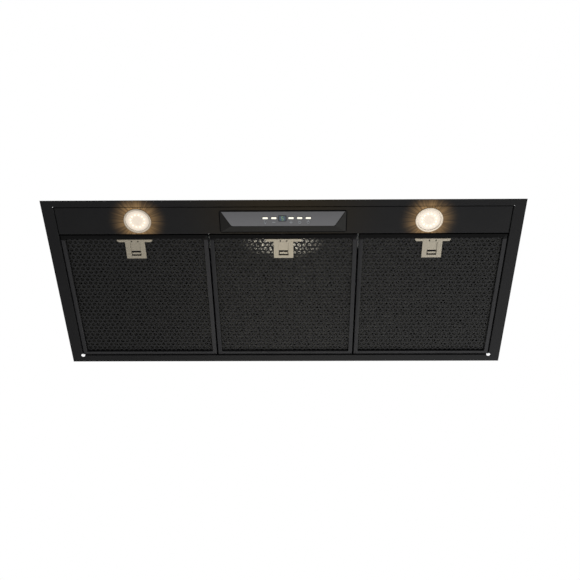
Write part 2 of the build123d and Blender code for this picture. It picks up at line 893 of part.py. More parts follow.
scroll_step = scroll_growth / 2
scroll_rear = scroll_step + scroll_first_radius + 2 * scroll_growth
outlet_top = box_top - sheet - blower_axis_z
with BuildSketch() as scroll_inside:
    with BuildLine():
        # three quarter turns, each wider than the one before it, then the outlet's walls
        CenterArc((-scroll_step, -scroll_step), scroll_first_radius, 90, 90)
        CenterArc((scroll_step, -scroll_step), scroll_first_radius + scroll_growth, 180, 90)
        CenterArc((scroll_step, scroll_step), scroll_first_radius + 2 * scroll_growth, -90, 90)
        Polyline(
            (scroll_rear, scroll_step),
            (scroll_rear, outlet_top),
            (-scroll_step - outlet_flare, outlet_top),
            (-scroll_step, scroll_first_radius - scroll_step),
        )
    make_face()

with BuildPart() as volute_scroll:
    with BuildSketch(blower_axis.offset(-scroll_width / 2)):
        add(scroll_inside.sketch)
        offset(amount=sheet, kind=Kind.INTERSECTION)
        add(scroll_inside.sketch, mode=Mode.SUBTRACT)
        with Locations((0, outlet_top + sheet)):
            Rectangle(motor_box_depth, 2 * sheet, mode=Mode.SUBTRACT)
    extrude(amount=scroll_width)
save(volute_scroll, "volute_scroll")


def make_volute_side(side, opening):
    """Flat plate with a round opening, hung from the motor box's top by a turned edge."""
    plane = blower_axis.offset(side * scroll_width / 2)
    hanger_front = -scroll_step - outlet_flare - sheet - side_margin
    hanger_rear = scroll_rear + sheet + side_margin
    hanger_y = blower_axis_y + (hanger_front + hanger_rear) / 2
    with BuildPart() as plate:
        with BuildSketch(plane):
            add(scroll_inside.sketch)
            offset(amount=sheet + side_margin)
            with Locations((0, outlet_top + motor_box_depth / 2)):
                Rectangle(motor_box_depth, motor_box_depth, mode=Mode.SUBTRACT)
            Circle(opening, mode=Mode.SUBTRACT)
        extrude(amount=side * sheet)
        with BuildSketch(Plane.XY.offset(box_top - sheet)):
            with Locations((side * hanger_x, hanger_y)):
                Rectangle(hanger_width, hanger_rear - hanger_front)
        extrude(amount=-sheet)
    return plate


save(make_volute_side(-1, boss_radius + boss_fit), "volute_side_left")
save(make_volute_side(1, inlet_radius), "volute_side_right")

wheel_bore = wheel_radius - wheel_ring
with BuildSketch() as blade:
    with BuildLine():
        Polyline(
            (wheel_bore + blade_sheet, 0),
            (wheel_radius - wheel_ring / 2, blade_lean / 2 - blade_bow),
            (wheel_radius - blade_sheet, blade_lean),
        )
        offset(amount=blade_sheet, side=Side.LEFT)
    make_face()

wheel_back = -wheel_width / 2
with BuildPart() as impeller_wheel:
    with BuildSketch(blower_axis.offset(wheel_back)):
        with PolarLocations(0, blade_count):
            add(blade.sketch)
    extrude(amount=wheel_width)
    with BuildSketch(blower_axis.offset(wheel_back)):
        Circle(wheel_radius)
    extrude(amount=wheel_sheet)
    with BuildSketch(blower_axis.offset(wheel_width / 2)):
        Circle(wheel_radius)
        Circle(wheel_bore, mode=Mode.SUBTRACT)
    extrude(amount=-wheel_sheet)
    with BuildSketch(blower_axis.offset(wheel_back)):
        Circle(hub_radius)
    extrude(amount=hub_length)
    with BuildSketch(blower_axis.offset(wheel_back)):
        Circle(shaft_radius + shaft_fit)
    extrude(amount=hub_length, mode=Mode.SUBTRACT)
save(impeller_wheel, "impeller_wheel")

motor_front = -scroll_width / 2 - sheet
shaft_rear = motor_front - motor_length - shaft_step
with BuildPart() as impeller_shaft:
    with BuildSketch(blower_axis.offset(shaft_rear)):
        Circle(shaft_radius)
    extrude(amount=wheel_back + hub_length + shaft_step - shaft_rear)
save(impeller_shaft, "impeller_shaft")

with BuildPart() as motor_body:
    with BuildSketch(blower_axis.offset(motor_front)):
        Circle(motor_radius)
    extrude(amount=-motor_length)
    with BuildSketch(blower_axis.offset(motor_front)):
        Circle(boss_radius)
    extrude(amount=boss_height)
    with BuildSketch(blower_axis.offset(motor_front + boss_height)):
        Circle(shaft_radius + shaft_fit)
    extrude(amount=-boss_height - motor_length, mode=Mode.SUBTRACT)
save(motor_body, "motor_body")

with BuildPart() as run_capacitor:
    with BuildSketch(Plane.YZ.offset(motor_box_width / 2 - sheet)):
        with Locations((capacitor_y, capacitor_z)):
            Rectangle(capacitor_length, capacitor_height)
    extrude(amount=-capacitor_width)
    fillet(run_capacitor.edges().filter_by(Axis.X), radius=capacitor_corner)
    with BuildSketch(Plane.YZ.offset(motor_box_width / 2 - sheet - capacitor_width)):
        with Locations((capacitor_y, capacitor_z)):
            with GridLocations(capacitor_length / 2, 0, 2, 1):
                Rectangle(sheet, tab_blade)
    extrude(amount=-tab_blade)
save(run_capacitor, "run_capacitor")

# ---- Supply box: tray, lid, terminals, power board and cable gland ----

with BuildPart() as supply_box:
    with BuildSketch(Plane.XY.offset(supply_low)):
        with Locations((supply_x, supply_y)):
            Rectangle(supply_width, supply_depth)
    extrude(amount=supply_height)
    with BuildSketch(Plane.XY.offset(supply_low + sheet)):
        with Locations((supply_x, supply_y)):
            Rectangle(supply_width - 2 * sheet, supply_depth - 2 * sheet)
    extrude(amount=supply_height - 2 * sheet, mode=Mode.SUBTRACT)
    with BuildSketch(Plane.XY.offset(supply_high)):
        with Locations((supply_x, supply_y)):
            Rectangle(supply_width - 2 * sheet, supply_depth - 2 * supply_lip)
    extrude(amount=-sheet, mode=Mode.SUBTRACT)
    with BuildSketch(Plane.XY.offset(supply_low)):
        with Locations((wiring_x, supply_y)):
            Rectangle(wiring_slot_width, wiring_slot_length)
    extrude(amount=sheet, mode=Mode.SUBTRACT)
    with BuildSketch(gland_plane):
        Circle(gland_radius)
    extrude(amount=-sheet, mode=Mode.SUBTRACT)
save(supply_box, "supply_box")

with BuildPart() as supply_box_lid:
    with BuildSketch(Plane.XY.offset(supply_high - supply_lid_turn)):
        with Locations((supply_x, supply_y)):
            Rectangle(supply_width + 2 * lid_grow, supply_depth + 2 * lid_grow)
    extrude(amount=supply_lid_turn + sheet)
    with BuildSketch(Plane.XY.offset(supply_high - supply_lid_turn)):
        with Locations((supply_x, supply_y)):
            Rectangle(supply_width + 2 * supply_fit, supply_depth + 2 * supply_fit)
    extrude(amount=supply_lid_turn, mode=Mode.SUBTRACT)
save(supply_box_lid, "supply_box_lid")

with BuildPart() as terminal_block:
    with BuildSketch(Plane.XY.offset(supply_low + sheet)):
        with Locations((terminal_x, supply_y)):
            Rectangle(terminal_depth, terminal_count * terminal_pitch)
    extrude(amount=terminal_height)
    with BuildSketch(Plane.XY.offset(supply_low + sheet + terminal_height)):
        with Locations((terminal_x, supply_y)):
            with GridLocations(terminal_depth / 2, terminal_pitch, 2, terminal_count):
                Rectangle(terminal_pitch / 2, terminal_pitch / 2)
    extrude(amount=-terminal_height / 2, mode=Mode.SUBTRACT)
save(terminal_block, "terminal_block")

with BuildPart() as power_board:
    with BuildSketch(Plane.XY.offset(supply_low + sheet)):
        with Locations((board_x, supply_y)):
            with GridLocations(board_size - 2 * post_size, board_size - 2 * post_size, 2, 2):
                Rectangle(post_size, post_size)
    extrude(amount=post_inset)
    with BuildSketch(Plane.XY.offset(supply_low + sheet + post_inset)):
        with Locations((board_x, supply_y)):
            Rectangle(board_size, board_size)
    extrude(amount=board_thickness)
    with BuildSketch(Plane.XY.offset(supply_low + sheet + post_inset + board_thickness)):
        with Locations((board_x, supply_y)):
            with GridLocations(0, relay_pitch, 1, relay_count):
                Rectangle(relay_length, relay_width)
    extrude(amount=relay_height)
save(power_board, "power_board")

with BuildPart() as cable_gland:
    with BuildSketch(gland_plane):
        RegularPolygon(gland_nut_across / 2, 6, major_radius=False)
    extrude(amount=gland_nut)
    with BuildSketch(gland_plane.offset(gland_nut)):
        RegularPolygon(gland_cap_across / 2, 6, major_radius=False)
    extrude(amount=gland_length - gland_nut)
    with BuildSketch(gland_plane):
        Circle(gland_radius - supply_fit)
    extrude(amount=-gland_shank)
    with BuildSketch(gland_plane.offset(-gland_shank)):
        Circle(gland_bore)
    extrude(amount=gland_shank + gland_length, mode=Mode.SUBTRACT)
save(cable_gland, "cable_gland")

# ---- Screws: one group of hexagon heads, on the box's foot, the collar and the lid ----

foot_screw_x = (motor_box_width + motor_box_foot) / 2
with BuildPart() as body_screws:
    with BuildSketch(Plane.XY.offset(deck_top + sheet)):
        with Locations((0, motor_box_y)):
            with GridLocations(2 * foot_screw_x, foot_screw_spacing, 2, 2):
                RegularPolygon(screw_across / 2, 6, major_radius=False)
    extrude(amount=screw_head)
    with BuildSketch(Plane.XY.offset(box_top + sheet)):
        with Locations((0, duct_y)):
            with GridLocations(collar_screw_spacing, collar_screw_spacing, 2, 2):
                RegularPolygon(screw_across / 2, 6, major_radius=False)
    extrude(amount=screw_head)
    with BuildSketch(Plane.XY.offset(supply_high + sheet)):
        with Locations((supply_x, supply_y)):
            with GridLocations(0, supply_depth - supply_lip, 1, 2):
                RegularPolygon(screw_across / 2, 6, major_radius=False)
    extrude(amount=screw_head)
save(body_screws, "body_screws")
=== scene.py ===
"""Finishes, filter mesh, lamps and printed marks of a range hood insert, on its CAD frame."""

import math

import bmesh
import bpy
from mathutils import Matrix, Vector


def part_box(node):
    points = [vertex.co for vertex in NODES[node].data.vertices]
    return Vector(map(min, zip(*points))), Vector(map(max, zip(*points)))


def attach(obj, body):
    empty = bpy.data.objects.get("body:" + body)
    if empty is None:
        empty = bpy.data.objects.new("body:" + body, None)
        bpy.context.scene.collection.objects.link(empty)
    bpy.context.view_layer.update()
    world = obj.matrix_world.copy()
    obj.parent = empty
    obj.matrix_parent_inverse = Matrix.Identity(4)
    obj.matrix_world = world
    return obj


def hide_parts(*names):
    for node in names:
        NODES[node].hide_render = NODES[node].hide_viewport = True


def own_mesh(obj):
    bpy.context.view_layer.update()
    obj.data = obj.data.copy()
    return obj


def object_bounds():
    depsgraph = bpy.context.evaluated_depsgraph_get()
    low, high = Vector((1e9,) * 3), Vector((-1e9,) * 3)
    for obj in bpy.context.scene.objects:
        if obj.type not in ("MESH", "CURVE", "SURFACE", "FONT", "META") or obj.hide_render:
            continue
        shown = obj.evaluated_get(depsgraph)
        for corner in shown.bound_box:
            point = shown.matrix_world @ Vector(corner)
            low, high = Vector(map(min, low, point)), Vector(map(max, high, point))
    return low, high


bl_info = {
    "name": "Range Hood Insert",
    "version": (1, 0, 0),
    "blender": (4, 5, 0),
    "location": "View3D > Sidebar > Hood",
    "description": "Finishes, filter mesh, lamps and printed marks of a range hood insert",
    "category": "Add Mesh",
}

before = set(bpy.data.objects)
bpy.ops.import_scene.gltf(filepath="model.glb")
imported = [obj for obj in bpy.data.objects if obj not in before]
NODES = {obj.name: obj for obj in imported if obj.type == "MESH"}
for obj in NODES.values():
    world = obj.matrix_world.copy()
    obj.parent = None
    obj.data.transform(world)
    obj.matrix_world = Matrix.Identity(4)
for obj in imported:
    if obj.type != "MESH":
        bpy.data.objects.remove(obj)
CAD_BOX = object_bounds()
MM = 0.001
FILTERS = (1, 2, 3)
KEYS = ("key_light", "key_minus", "key_plus", "key_timer", "key_power")


def linear(code):
    """Turn an sRGB hex colour into the opaque linear colour that a shader socket takes."""
    parts = [int(code[i : i + 2], 16) / 255 for i in (0, 2, 4)]
    return (*(c / 12.92 if c <= 0.04045 else ((c + 0.055) / 1.055) ** 2.4 for c in parts), 1.0)


# ---- Sizes and colours that a user would change ----


class HoodSizes(bpy.types.PropertyGroup):
    """Real sizes of the details that the CAD frame doesn't hold."""

    hole_pitch: bpy.props.FloatProperty(
        name="Hole pitch", description="Distance between neighbouring holes of the filter sheet",
        default=0.010, min=0.002, unit="LENGTH",
    )
    hole_diameter: bpy.props.FloatProperty(
        name="Hole diameter", description="Diameter of each hole of the filter sheet",
        default=0.0080, min=0.001, unit="LENGTH",
    )
    net_pitch: bpy.props.FloatProperty(
        name="Net pitch", description="Distance between the openings of the aluminium mesh",
        default=0.0066, min=0.002, unit="LENGTH",
    )
    net_turn: bpy.props.FloatProperty(
        name="Net turn", description="Angle that each layer of the aluminium mesh is turned by",
        default=math.radians(8), unit="ROTATION",
    )
    strand: bpy.props.FloatProperty(
        name="Strand width", description="Width of a strand of the aluminium mesh",
        default=0.0014, min=0.0005, unit="LENGTH",
    )
    crimp: bpy.props.FloatProperty(
        name="Crimp", description="Distance from fold to fold of the crimped mesh layer",
        default=0.0028, min=0.001, unit="LENGTH",
    )
    led_ring: bpy.props.FloatProperty(
        name="Diode ring", description="Diameter of the ring of light-emitting diodes in a lamp",
        default=0.0265, min=0.005, unit="LENGTH",
    )
    led_count: bpy.props.IntProperty(
        name="Diodes", description="Number of light-emitting diodes in each lamp",
        default=12, min=1,
    )
    mark_height: bpy.props.FloatProperty(
        name="Mark height", description="Height of the marks printed beside the keys",
        default=0.0066, min=0.001, unit="LENGTH",
    )
    mark_line: bpy.props.FloatProperty(
        name="Mark line", description="Line width of the printed marks", default=0.0009, min=0.0001,
        unit="LENGTH",
    )


class HoodColours(bpy.types.PropertyGroup):
    """Colours of the parts that differ from one model of hood to the next."""

    coat: bpy.props.FloatVectorProperty(
        name="Coat", description="Powder coat of the flange, panel and filters", subtype="COLOR",
        size=4, default=linear("1C1C1D"), min=0, max=1,
    )
    # the sheets' coat is painted paler than the body's, as painted light that the sheets' webs
    # catch
    sheet: bpy.props.FloatVectorProperty(
        name="Filter sheet", description="Powder coat of the filters' perforated sheets",
        subtype="COLOR", size=4, default=linear("272728"), min=0, max=1,
    )
    latch: bpy.props.FloatVectorProperty(
        name="Latch plating", description="Plating of the filters' latches", subtype="COLOR",
        size=4, default=linear("8F8879"), min=0, max=1,
    )
    fascia: bpy.props.FloatVectorProperty(
        name="Fascia", description="Printed film on the control housing", subtype="COLOR",
        size=4, default=linear("6E6E71"), min=0, max=1,
    )
    lamp: bpy.props.FloatVectorProperty(
        name="Lamp light", description="Warm light of the lamps", subtype="COLOR",
        size=4, default=linear("FFE9CF"), min=0, max=1,
    )
    glow: bpy.props.FloatVectorProperty(
        name="Lamp glow", description="Amber glow that the lamps throw along the panel",
        subtype="COLOR", size=4, default=linear("FFCB88"), min=0, max=1,
    )
    display: bpy.props.FloatVectorProperty(
        name="Display", description="Lit window behind the digit", subtype="COLOR",
        size=4, default=linear("465668"), min=0, max=1,
    )
    digit: bpy.props.FloatVectorProperty(
        name="Digit", description="Segments of the digit", subtype="COLOR",
        size=4, default=linear("6F8E5C"), min=0, max=1,
    )


# ---- Materials ----

# The Mix node's colour sockets, which share their names with its sockets of other kinds
MIX_A, MIX_B, MIXED = 6, 7, 2


def set_inputs(node, inputs):
    """Set a node's inputs, by name or number, to a value or a link from a socket or a node."""
    for name, value in inputs.items():
        if isinstance(value, bpy.types.Node):
            value = value.outputs[0]
        if isinstance(value, bpy.types.NodeSocket):
            node.id_data.links.new(value, node.inputs[name])
        else:
            node.inputs[name].default_value = value


def add_node(tree, kind, inputs=None, **settings):
    """Add a shader node with its settings and its inputs."""
    node = tree.nodes.new("ShaderNode" + kind)
    for name, value in settings.items():
        setattr(node, name, value)
    set_inputs(node, inputs or {})
    return node


def start_material(name, colour, roughness, metallic=0.0, **sockets):
    """A material with a Principled shader on its output, and the object's own coordinates."""
    made = bpy.data.materials.new(name)
    made.use_nodes = True
    tree = made.node_tree
    tree.nodes.clear()
    values = {"Base Color": colour, "Roughness": roughness, "Metallic": metallic, **sockets}
    shader = add_node(tree, "BsdfPrincipled", values)
    add_node(tree, "OutputMaterial", {"Surface": shader})
    made.diffuse_color = colour
    return made, tree, shader, add_node(tree, "TexCoord").outputs["Object"]


def grain(tree, place, size, detail=2.0, stretch=(1, 1, 1)):
    """Noise whose patches are about size metres across, drawn out by stretch."""
    drawn = add_node(tree, "Mapping", {"Vector": place, "Scale": [1 / s for s in stretch]})
    return add_node(tree, "TexNoise", {"Vector": drawn, "Scale": 1 / size, "Detail": detail})


def shaded(colour, share):
    """The same colour, darker or lighter by a share."""
    return tuple(c * share for c in colour[:3]) + (colour[3],)


def powder_coat(name, colour, lamp_colour=None, shade_ahead_of=None):
    """Polyester powder coat, sprayed on steel and baked: satin, with a faint orange peel."""
    made, tree, shader, place = start_material(
        name, colour, 0.42, **{"IOR": 1.5, "Specular IOR Level": 0.06}
    )
    # orange peel of about 2 mm, which breaks up the edge of each reflection
    peel = grain(tree, place, 2 * MM, detail=1)
    relief = add_node(tree, "Bump", {"Height": peel, "Distance": 0.02 * MM})
    # broad drifts of thickness, 60 mm and more, which keep large faces from looking flat
    drift = grain(tree, place, 60 * MM)
    rough = add_node(tree, "MapRange", {"Value": drift, "To Min": 0.37, "To Max": 0.47})
    film = add_node(
        tree, "Mix", {"Factor": drift, MIX_A: shaded(colour, 0.86), MIX_B: shaded(colour, 1.14)},
        data_type="RGBA",
    ).outputs[MIXED]
    if shade_ahead_of is not None:
        # in front of this place the coat is painted near black: painted shade, where the panel's
        # edge shades the frames' front rails
        front_shade = add_node(tree, "MapRange", {
            "Value": add_node(tree, "SeparateXYZ", {0: place}).outputs["Y"],
            "From Min": shade_ahead_of + 1 * MM, "From Max": shade_ahead_of,
        })
        film = add_node(
            tree, "Mix", {"Factor": front_shade, MIX_A: film, MIX_B: shaded(colour, 0.06)},
            data_type="RGBA",
        ).outputs[MIXED]
    if lamp_colour:
        # painted warm light: the coat is tinted warm brown most at the middle of the front edge,
        # where warm light falls on it
        front = Vector((0, CAD_BOX[0].y, 0))
        away = add_node(tree, "VectorMath", {0: place, 1: front}, operation="DISTANCE")
        painted_warm_light = add_node(
            tree, "MapRange",
            {"Value": away.outputs["Value"], "From Min": 210 * MM, "From Max": 30 * MM},
            interpolation_type="SMOOTHSTEP",
        )
        film = add_node(
            tree, "Mix", {"Factor": painted_warm_light, MIX_A: film, MIX_B: linear("272116")},
            data_type="RGBA",
        ).outputs[MIXED]
        glow = lamp_glow(tree, place)
        set_inputs(shader, {"Emission Color": lamp_colour, "Emission Strength": glow})
    set_inputs(shader, {"Base Color": film, "Roughness": rough, "Normal": relief})
    return made


def lamp_glow(tree, place):
    """Strength of the warm glow that the lamps throw along the panel, in fine rays."""
    strength = 0.4
    total = 0.0
    for centre in lamp_centres():
        away = add_node(tree, "VectorMath", {0: place, 1: centre}, operation="SUBTRACT")
        distance = add_node(tree, "VectorMath", {0: away}, operation="LENGTH").outputs["Value"]
        # full at the diffuser's rim, gone 44 mm further out
        fade = add_node(
            tree, "MapRange", {"Value": distance, "From Min": 64 * MM, "From Max": 20 * MM},
            interpolation_type="SMOOTHSTEP",
        )
        # rays: noise on the direction alone, so that each runs straight out from the lamp
        aim = add_node(tree, "VectorMath", {0: away}, operation="NORMALIZE")
        rays = add_node(tree, "TexNoise", {"Vector": aim, "Scale": 13.0, "Detail": 1.0})
        beam = add_node(tree, "MapRange", {
            "Value": rays, "From Min": 0.36, "From Max": 0.64, "To Min": 0.45, "To Max": 1.0,
        })
        # the panel throws the light on mostly forwards and backwards, less along its length
        side = add_node(tree, "SeparateXYZ", {0: aim}).outputs["X"]
        side = add_node(tree, "Math", {0: side, 1: side}, operation="MULTIPLY")
        narrow = add_node(tree, "MapRange", {"Value": side, "To Min": 1.0, "To Max": 0.6})
        part = fade
        for share in (fade, beam, narrow):
            part = add_node(tree, "Math", {0: part, 1: share}, operation="MULTIPLY")
        total = add_node(tree, "Math", {0: total, 1: part}, operation="ADD")
    # only faces that look down catch it
    facing = add_node(tree, "NewGeometry").outputs["Normal"]
    upward = add_node(tree, "SeparateXYZ", {0: facing}).outputs["Z"]
    downward = add_node(
        tree, "Math", {0: upward, 1: -strength}, operation="MULTIPLY", use_clamp=True
    )
    return add_node(tree, "Math", {0: total, 1: downward}, operation="MULTIPLY")


def expanded_aluminium_painted_glint(name):
    """Aluminium foil, slit and stretched to a mesh: bright, with a soft film of cooking grease."""
    made, tree, shader, place = start_material(name, linear("8A8A88"), 0.4, 1.0)
    smears = grain(tree, place, 25 * MM)
    film = add_node(
        tree, "Mix", {"Factor": smears, MIX_A: linear("212120"), MIX_B: linear("383836")},
        data_type="RGBA",
    ).outputs[MIXED]
    # round the middle latch the foil is painted pale: a painted glint of the light that it mirrors
    # there
    centre = middle("filter_2_latch_cover") - Vector((0, 9 * MM, 0))
    reach = (1 / (86 * MM), 1 / (36 * MM), 0)
    away = add_node(tree, "VectorMath", {0: place, 1: centre}, operation="SUBTRACT")
    away = add_node(tree, "VectorMath", {0: away, 1: reach}, operation="MULTIPLY")
    away = add_node(tree, "VectorMath", {0: away}, operation="LENGTH").outputs["Value"]
    painted_glint = add_node(
        tree, "MapRange", {"Value": away, "From Min": 1.0, "From Max": 0.3},
        interpolation_type="SMOOTHSTEP",
    )
    # creases of the stretched foil, 3 mm apart, which also break up the painted glint
    creases = grain(tree, place, 3 * MM)
    relief = add_node(tree, "Bump", {"Height": creases, "Distance": 0.25 * MM})
    glint = add_node(tree, "MapRange", {"Value": creases, "From Min": 0.42, "From Max": 0.66})
    # the painted glint is kept to the lower layers
    low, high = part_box("filter_2_core")
    first = add_node(tree, "MapRange", {
        "Value": add_node(tree, "SeparateXYZ", {0: place}).outputs["Z"],
        "From Min": (low.z + 2 * high.z) / 3, "From Max": (low.z + high.z) / 2,
    })
    for share in (glint, first):
        painted_glint = add_node(tree, "Math", {0: painted_glint, 1: share}, operation="MULTIPLY")
    foil = add_node(
        tree, "Mix", {"Factor": painted_glint, MIX_A: film, MIX_B: linear("E6E2D6")}, data_type="RGBA"
    ).outputs[MIXED]
    set_inputs(shader, {"Base Color": foil, "Normal": relief})
    return made


def plated_steel(name, colour, tip_shade_from=None):
    """Nickel plate over pressed steel strip: warm, satin, with rolling lines along the stem."""
    made, tree, shader, place = start_material(name, colour, 0.42, 0.4)
    # rolling lines 0.4 mm apart and 30 mm long, which give the plate its silky grain
    lines = grain(tree, place, 0.4 * MM, stretch=(1, 75, 1))
    relief = add_node(tree, "Bump", {"Height": lines, "Distance": 0.004 * MM})
    plate = add_node(
        tree, "Mix", {"Factor": lines, MIX_A: shaded(colour, 0.9), MIX_B: shaded(colour, 1.06)},
        data_type="RGBA",
    ).outputs[MIXED]
    if tip_shade_from is not None:
        # the end in front of this place is painted near black and dull: painted shade over the
        # tongue in the gap
        painted_tip_shade = add_node(tree, "MapRange", {
            "Value": add_node(tree, "SeparateXYZ", {0: place}).outputs["Y"],
            "From Min": tip_shade_from, "From Max": tip_shade_from - 0.5 * MM,
        })
        plate = add_node(
            tree, "Mix", {"Factor": painted_tip_shade, MIX_A: plate, MIX_B: linear("161514")},
            data_type="RGBA",
        ).outputs[MIXED]
        shine = add_node(tree, "MapRange", {"Value": painted_tip_shade, "To Min": 0.4, "To Max": 0.0})
        rough = add_node(tree, "MapRange", {"Value": painted_tip_shade, "To Min": 0.4, "To Max": 0.8})
        set_inputs(shader, {"Metallic": shine, "Roughness": rough})
    set_inputs(shader, {"Base Color": plate, "Normal": relief})
    return made


def spring_strip(name):
    """Hardened spring strip, blued by its heat treatment: dark and glossy."""
    made, tree, shader, place = start_material(name, linear("5B6068"), 0.28, 1.0)
    lines = grain(tree, place, 0.3 * MM, stretch=(60, 1, 1))
    relief = add_node(tree, "Bump", {"Height": lines, "Distance": 0.004 * MM})
    set_inputs(shader, {"Normal": relief})
    return made


def nearest_lamp(tree, place):
    """Distance from the nearer lamp's centre, in metres."""
    aways = [
        add_node(tree, "VectorMath", {0: place, 1: centre}, operation="DISTANCE").outputs["Value"]
        for centre in lamp_centres()
    ]
    return add_node(tree, "Math", dict(enumerate(aways)), operation="MINIMUM")


def turned_aluminium(name):
    """Aluminium ring turned on a lathe: fine circles about each lamp's axis."""
    colour = linear("BCB1A1")
    made, tree, shader, place = start_material(name, colour, 0.3, 0.7)
    away = nearest_lamp(tree, place)
    # tool marks every 0.35 mm of radius
    turns = add_node(tree, "Math", {0: away, 1: 2 * math.pi / (0.35 * MM)}, operation="MULTIPLY")
    wave = add_node(tree, "Math", {0: turns}, operation="SINE")
    relief = add_node(tree, "Bump", {"Height": wave, "Distance": 0.004 * MM})
    # the ring is darker brown in its last millimetre, where it meets the panel
    low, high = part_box("lamp_bezels")
    rim = (high.y - low.y) / 2
    outer_rim_tint = add_node(
        tree, "MapRange", {"Value": away, "From Min": rim - 1.3 * MM, "From Max": rim - 0.2 * MM}
    )
    ring = add_node(
        tree, "Mix", {"Factor": outer_rim_tint, MIX_A: colour, MIX_B: linear("5A4A38")}, data_type="RGBA"
    ).outputs[MIXED]
    set_inputs(shader, {"Base Color": ring, "Normal": relief})
    return made


def opal_diffuser(name, light):
    """Opal polycarbonate, moulded with a fine frost: it glows evenly and hides the board."""
    made, tree, shader, place = start_material(
        name, linear("C9C2B8"), 0.35, **{"IOR": 1.58, "Emission Color": light}
    )
    # brightest over the ring of diodes, dimmer inside it, and dimmest at the rim
    away = nearest_lamp(tree, place)
    glow = add_node(tree, "MapRange", {
        "Value": away, "From Min": 8 * MM, "From Max": 11 * MM, "To Min": 0.4, "To Max": 0.52,
    })
    edge = add_node(tree, "MapRange", {
        "Value": away, "From Min": 16 * MM, "From Max": 20 * MM, "To Min": 1.0, "To Max": 0.6,
    })
    glow = add_node(tree, "Math", {0: glow, 1: edge}, operation="MULTIPLY")
    frost = grain(tree, place, 0.5 * MM)
    relief = add_node(tree, "Bump", {"Height": frost, "Distance": 0.01 * MM})
    set_inputs(shader, {"Emission Strength": glow, "Normal": relief})
    return made


def lit_phosphor(name, light):
    """Phosphor of a white diode, lit: brighter than anything round it."""
    made, tree, shader, place = start_material(
        name, linear("FFF6E0"), 0.5, **{"Emission Color": light}
    )
    cells = grain(tree, place, 0.6 * MM)
    glow = add_node(tree, "MapRange", {"Value": cells, "To Min": 0.75, "To Max": 0.95})
    set_inputs(shader, {"Emission Strength": glow})
    return made


def circuit_laminate(name):
    """Glass-epoxy laminate under green solder mask: glossy, with copper runs showing through."""
    made, tree, shader, place = start_material(
        name, linear("1E5A36"), 0.3, **{"Coat Weight": 0.4}
    )
    # copper runs about 2.5 mm apart, drawn as the paler lines between cells
    runs = add_node(tree, "TexBrick", {
        "Vector": place, "Scale": 1 / (5 * MM), "Color1": linear("1B5231"),
        "Color2": linear("225F3B"), "Mortar": linear("3B7A45"), "Mortar Size": 0.05,
        "Brick Width": 1.3, "Row Height": 0.5,
    })
    relief = add_node(tree, "Bump", {"Height": runs.outputs["Fac"], "Distance": 0.03 * MM})
    set_inputs(shader, {"Base Color": runs.outputs["Color"], "Normal": relief})
    return made


def textured_plastic(name, colour, roughness=0.5, specular=0.5):
    """ABS, nylon or ink, or the black of a painted shade strip, with the fine matt texture of its
    mould or printing screen.
    """
    made, tree, shader, place = start_material(
        name, colour, roughness, **{"IOR": 1.53, "Specular IOR Level": specular}
    )
    sparks = grain(tree, place, 0.7 * MM, detail=3)
    relief = add_node(tree, "Bump", {"Height": sparks, "Distance": 0.03 * MM})
    rough = add_node(
        tree, "MapRange", {"Value": sparks, "To Min": roughness - 0.06, "To Max": roughness + 0.06}
    )
    set_inputs(shader, {"Roughness": rough, "Normal": relief})
    return made


def printed_film(name, colour):
    """Polyester film printed on its back: smooth grey with a fine velvet face."""
    made, tree, shader, place = start_material(
        name, colour, 0.4, **{"IOR": 1.64, "Specular IOR Level": 0.4}
    )
    velvet = grain(tree, place, 0.8 * MM, detail=4)
    relief = add_node(tree, "Bump", {"Height": velvet, "Distance": 0.008 * MM})
    # the film is painted darker at its front edge and paler at its rear edge: painted shade and
    # light, as they fall across it
    low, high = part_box("control_fascia")
    painted_light_grade = add_node(tree, "MapRange", {
        "Value": add_node(tree, "SeparateXYZ", {0: place}).outputs["Y"],
        "From Min": low.y, "From Max": high.y,
    })
    # shaded and lit copies of the film, each mottled by the velvet
    dark, pale = (
        add_node(
            tree, "Mix", {"Factor": velvet, MIX_A: shaded(colour, a), MIX_B: shaded(colour, b)},
            data_type="RGBA",
        ).outputs[MIXED]
        for a, b in ((0.74, 0.86), (0.98, 1.16))
    )
    film = add_node(
        tree, "Mix", {"Factor": painted_light_grade, MIX_A: dark, MIX_B: pale}, data_type="RGBA"
    ).outputs[MIXED]
    set_inputs(shader, {"Base Color": film, "Normal": relief})
    return made


def lit_acrylic(name, colour, strength):
    """Cast acrylic lit from behind: an even light with a polished face."""
    made, tree, shader, place = start_material(
        name, colour, 0.15, **{"IOR": 1.49, "Emission Color": colour}
    )
    cloud = grain(tree, place, 4 * MM)
    glow = add_node(
        tree, "MapRange", {"Value": cloud, "To Min": strength * 0.9, "To Max": strength * 1.1}
    )
    set_inputs(shader, {"Emission Strength": glow})
    return made


def screen_ink(name):
    """Pale screen-printing ink: flat, with slightly ragged cover."""
    made, tree, shader, place = start_material(name, linear("AEB4B9"), 0.6)
    cover = grain(tree, place, 0.5 * MM)
    ink = add_node(
        tree, "Mix", {"Factor": cover, MIX_A: linear("9DA3A8"), MIX_B: linear("BEC4C9")},
        data_type="RGBA",
    ).outputs[MIXED]
    set_inputs(shader, {"Base Color": ink})
    return made


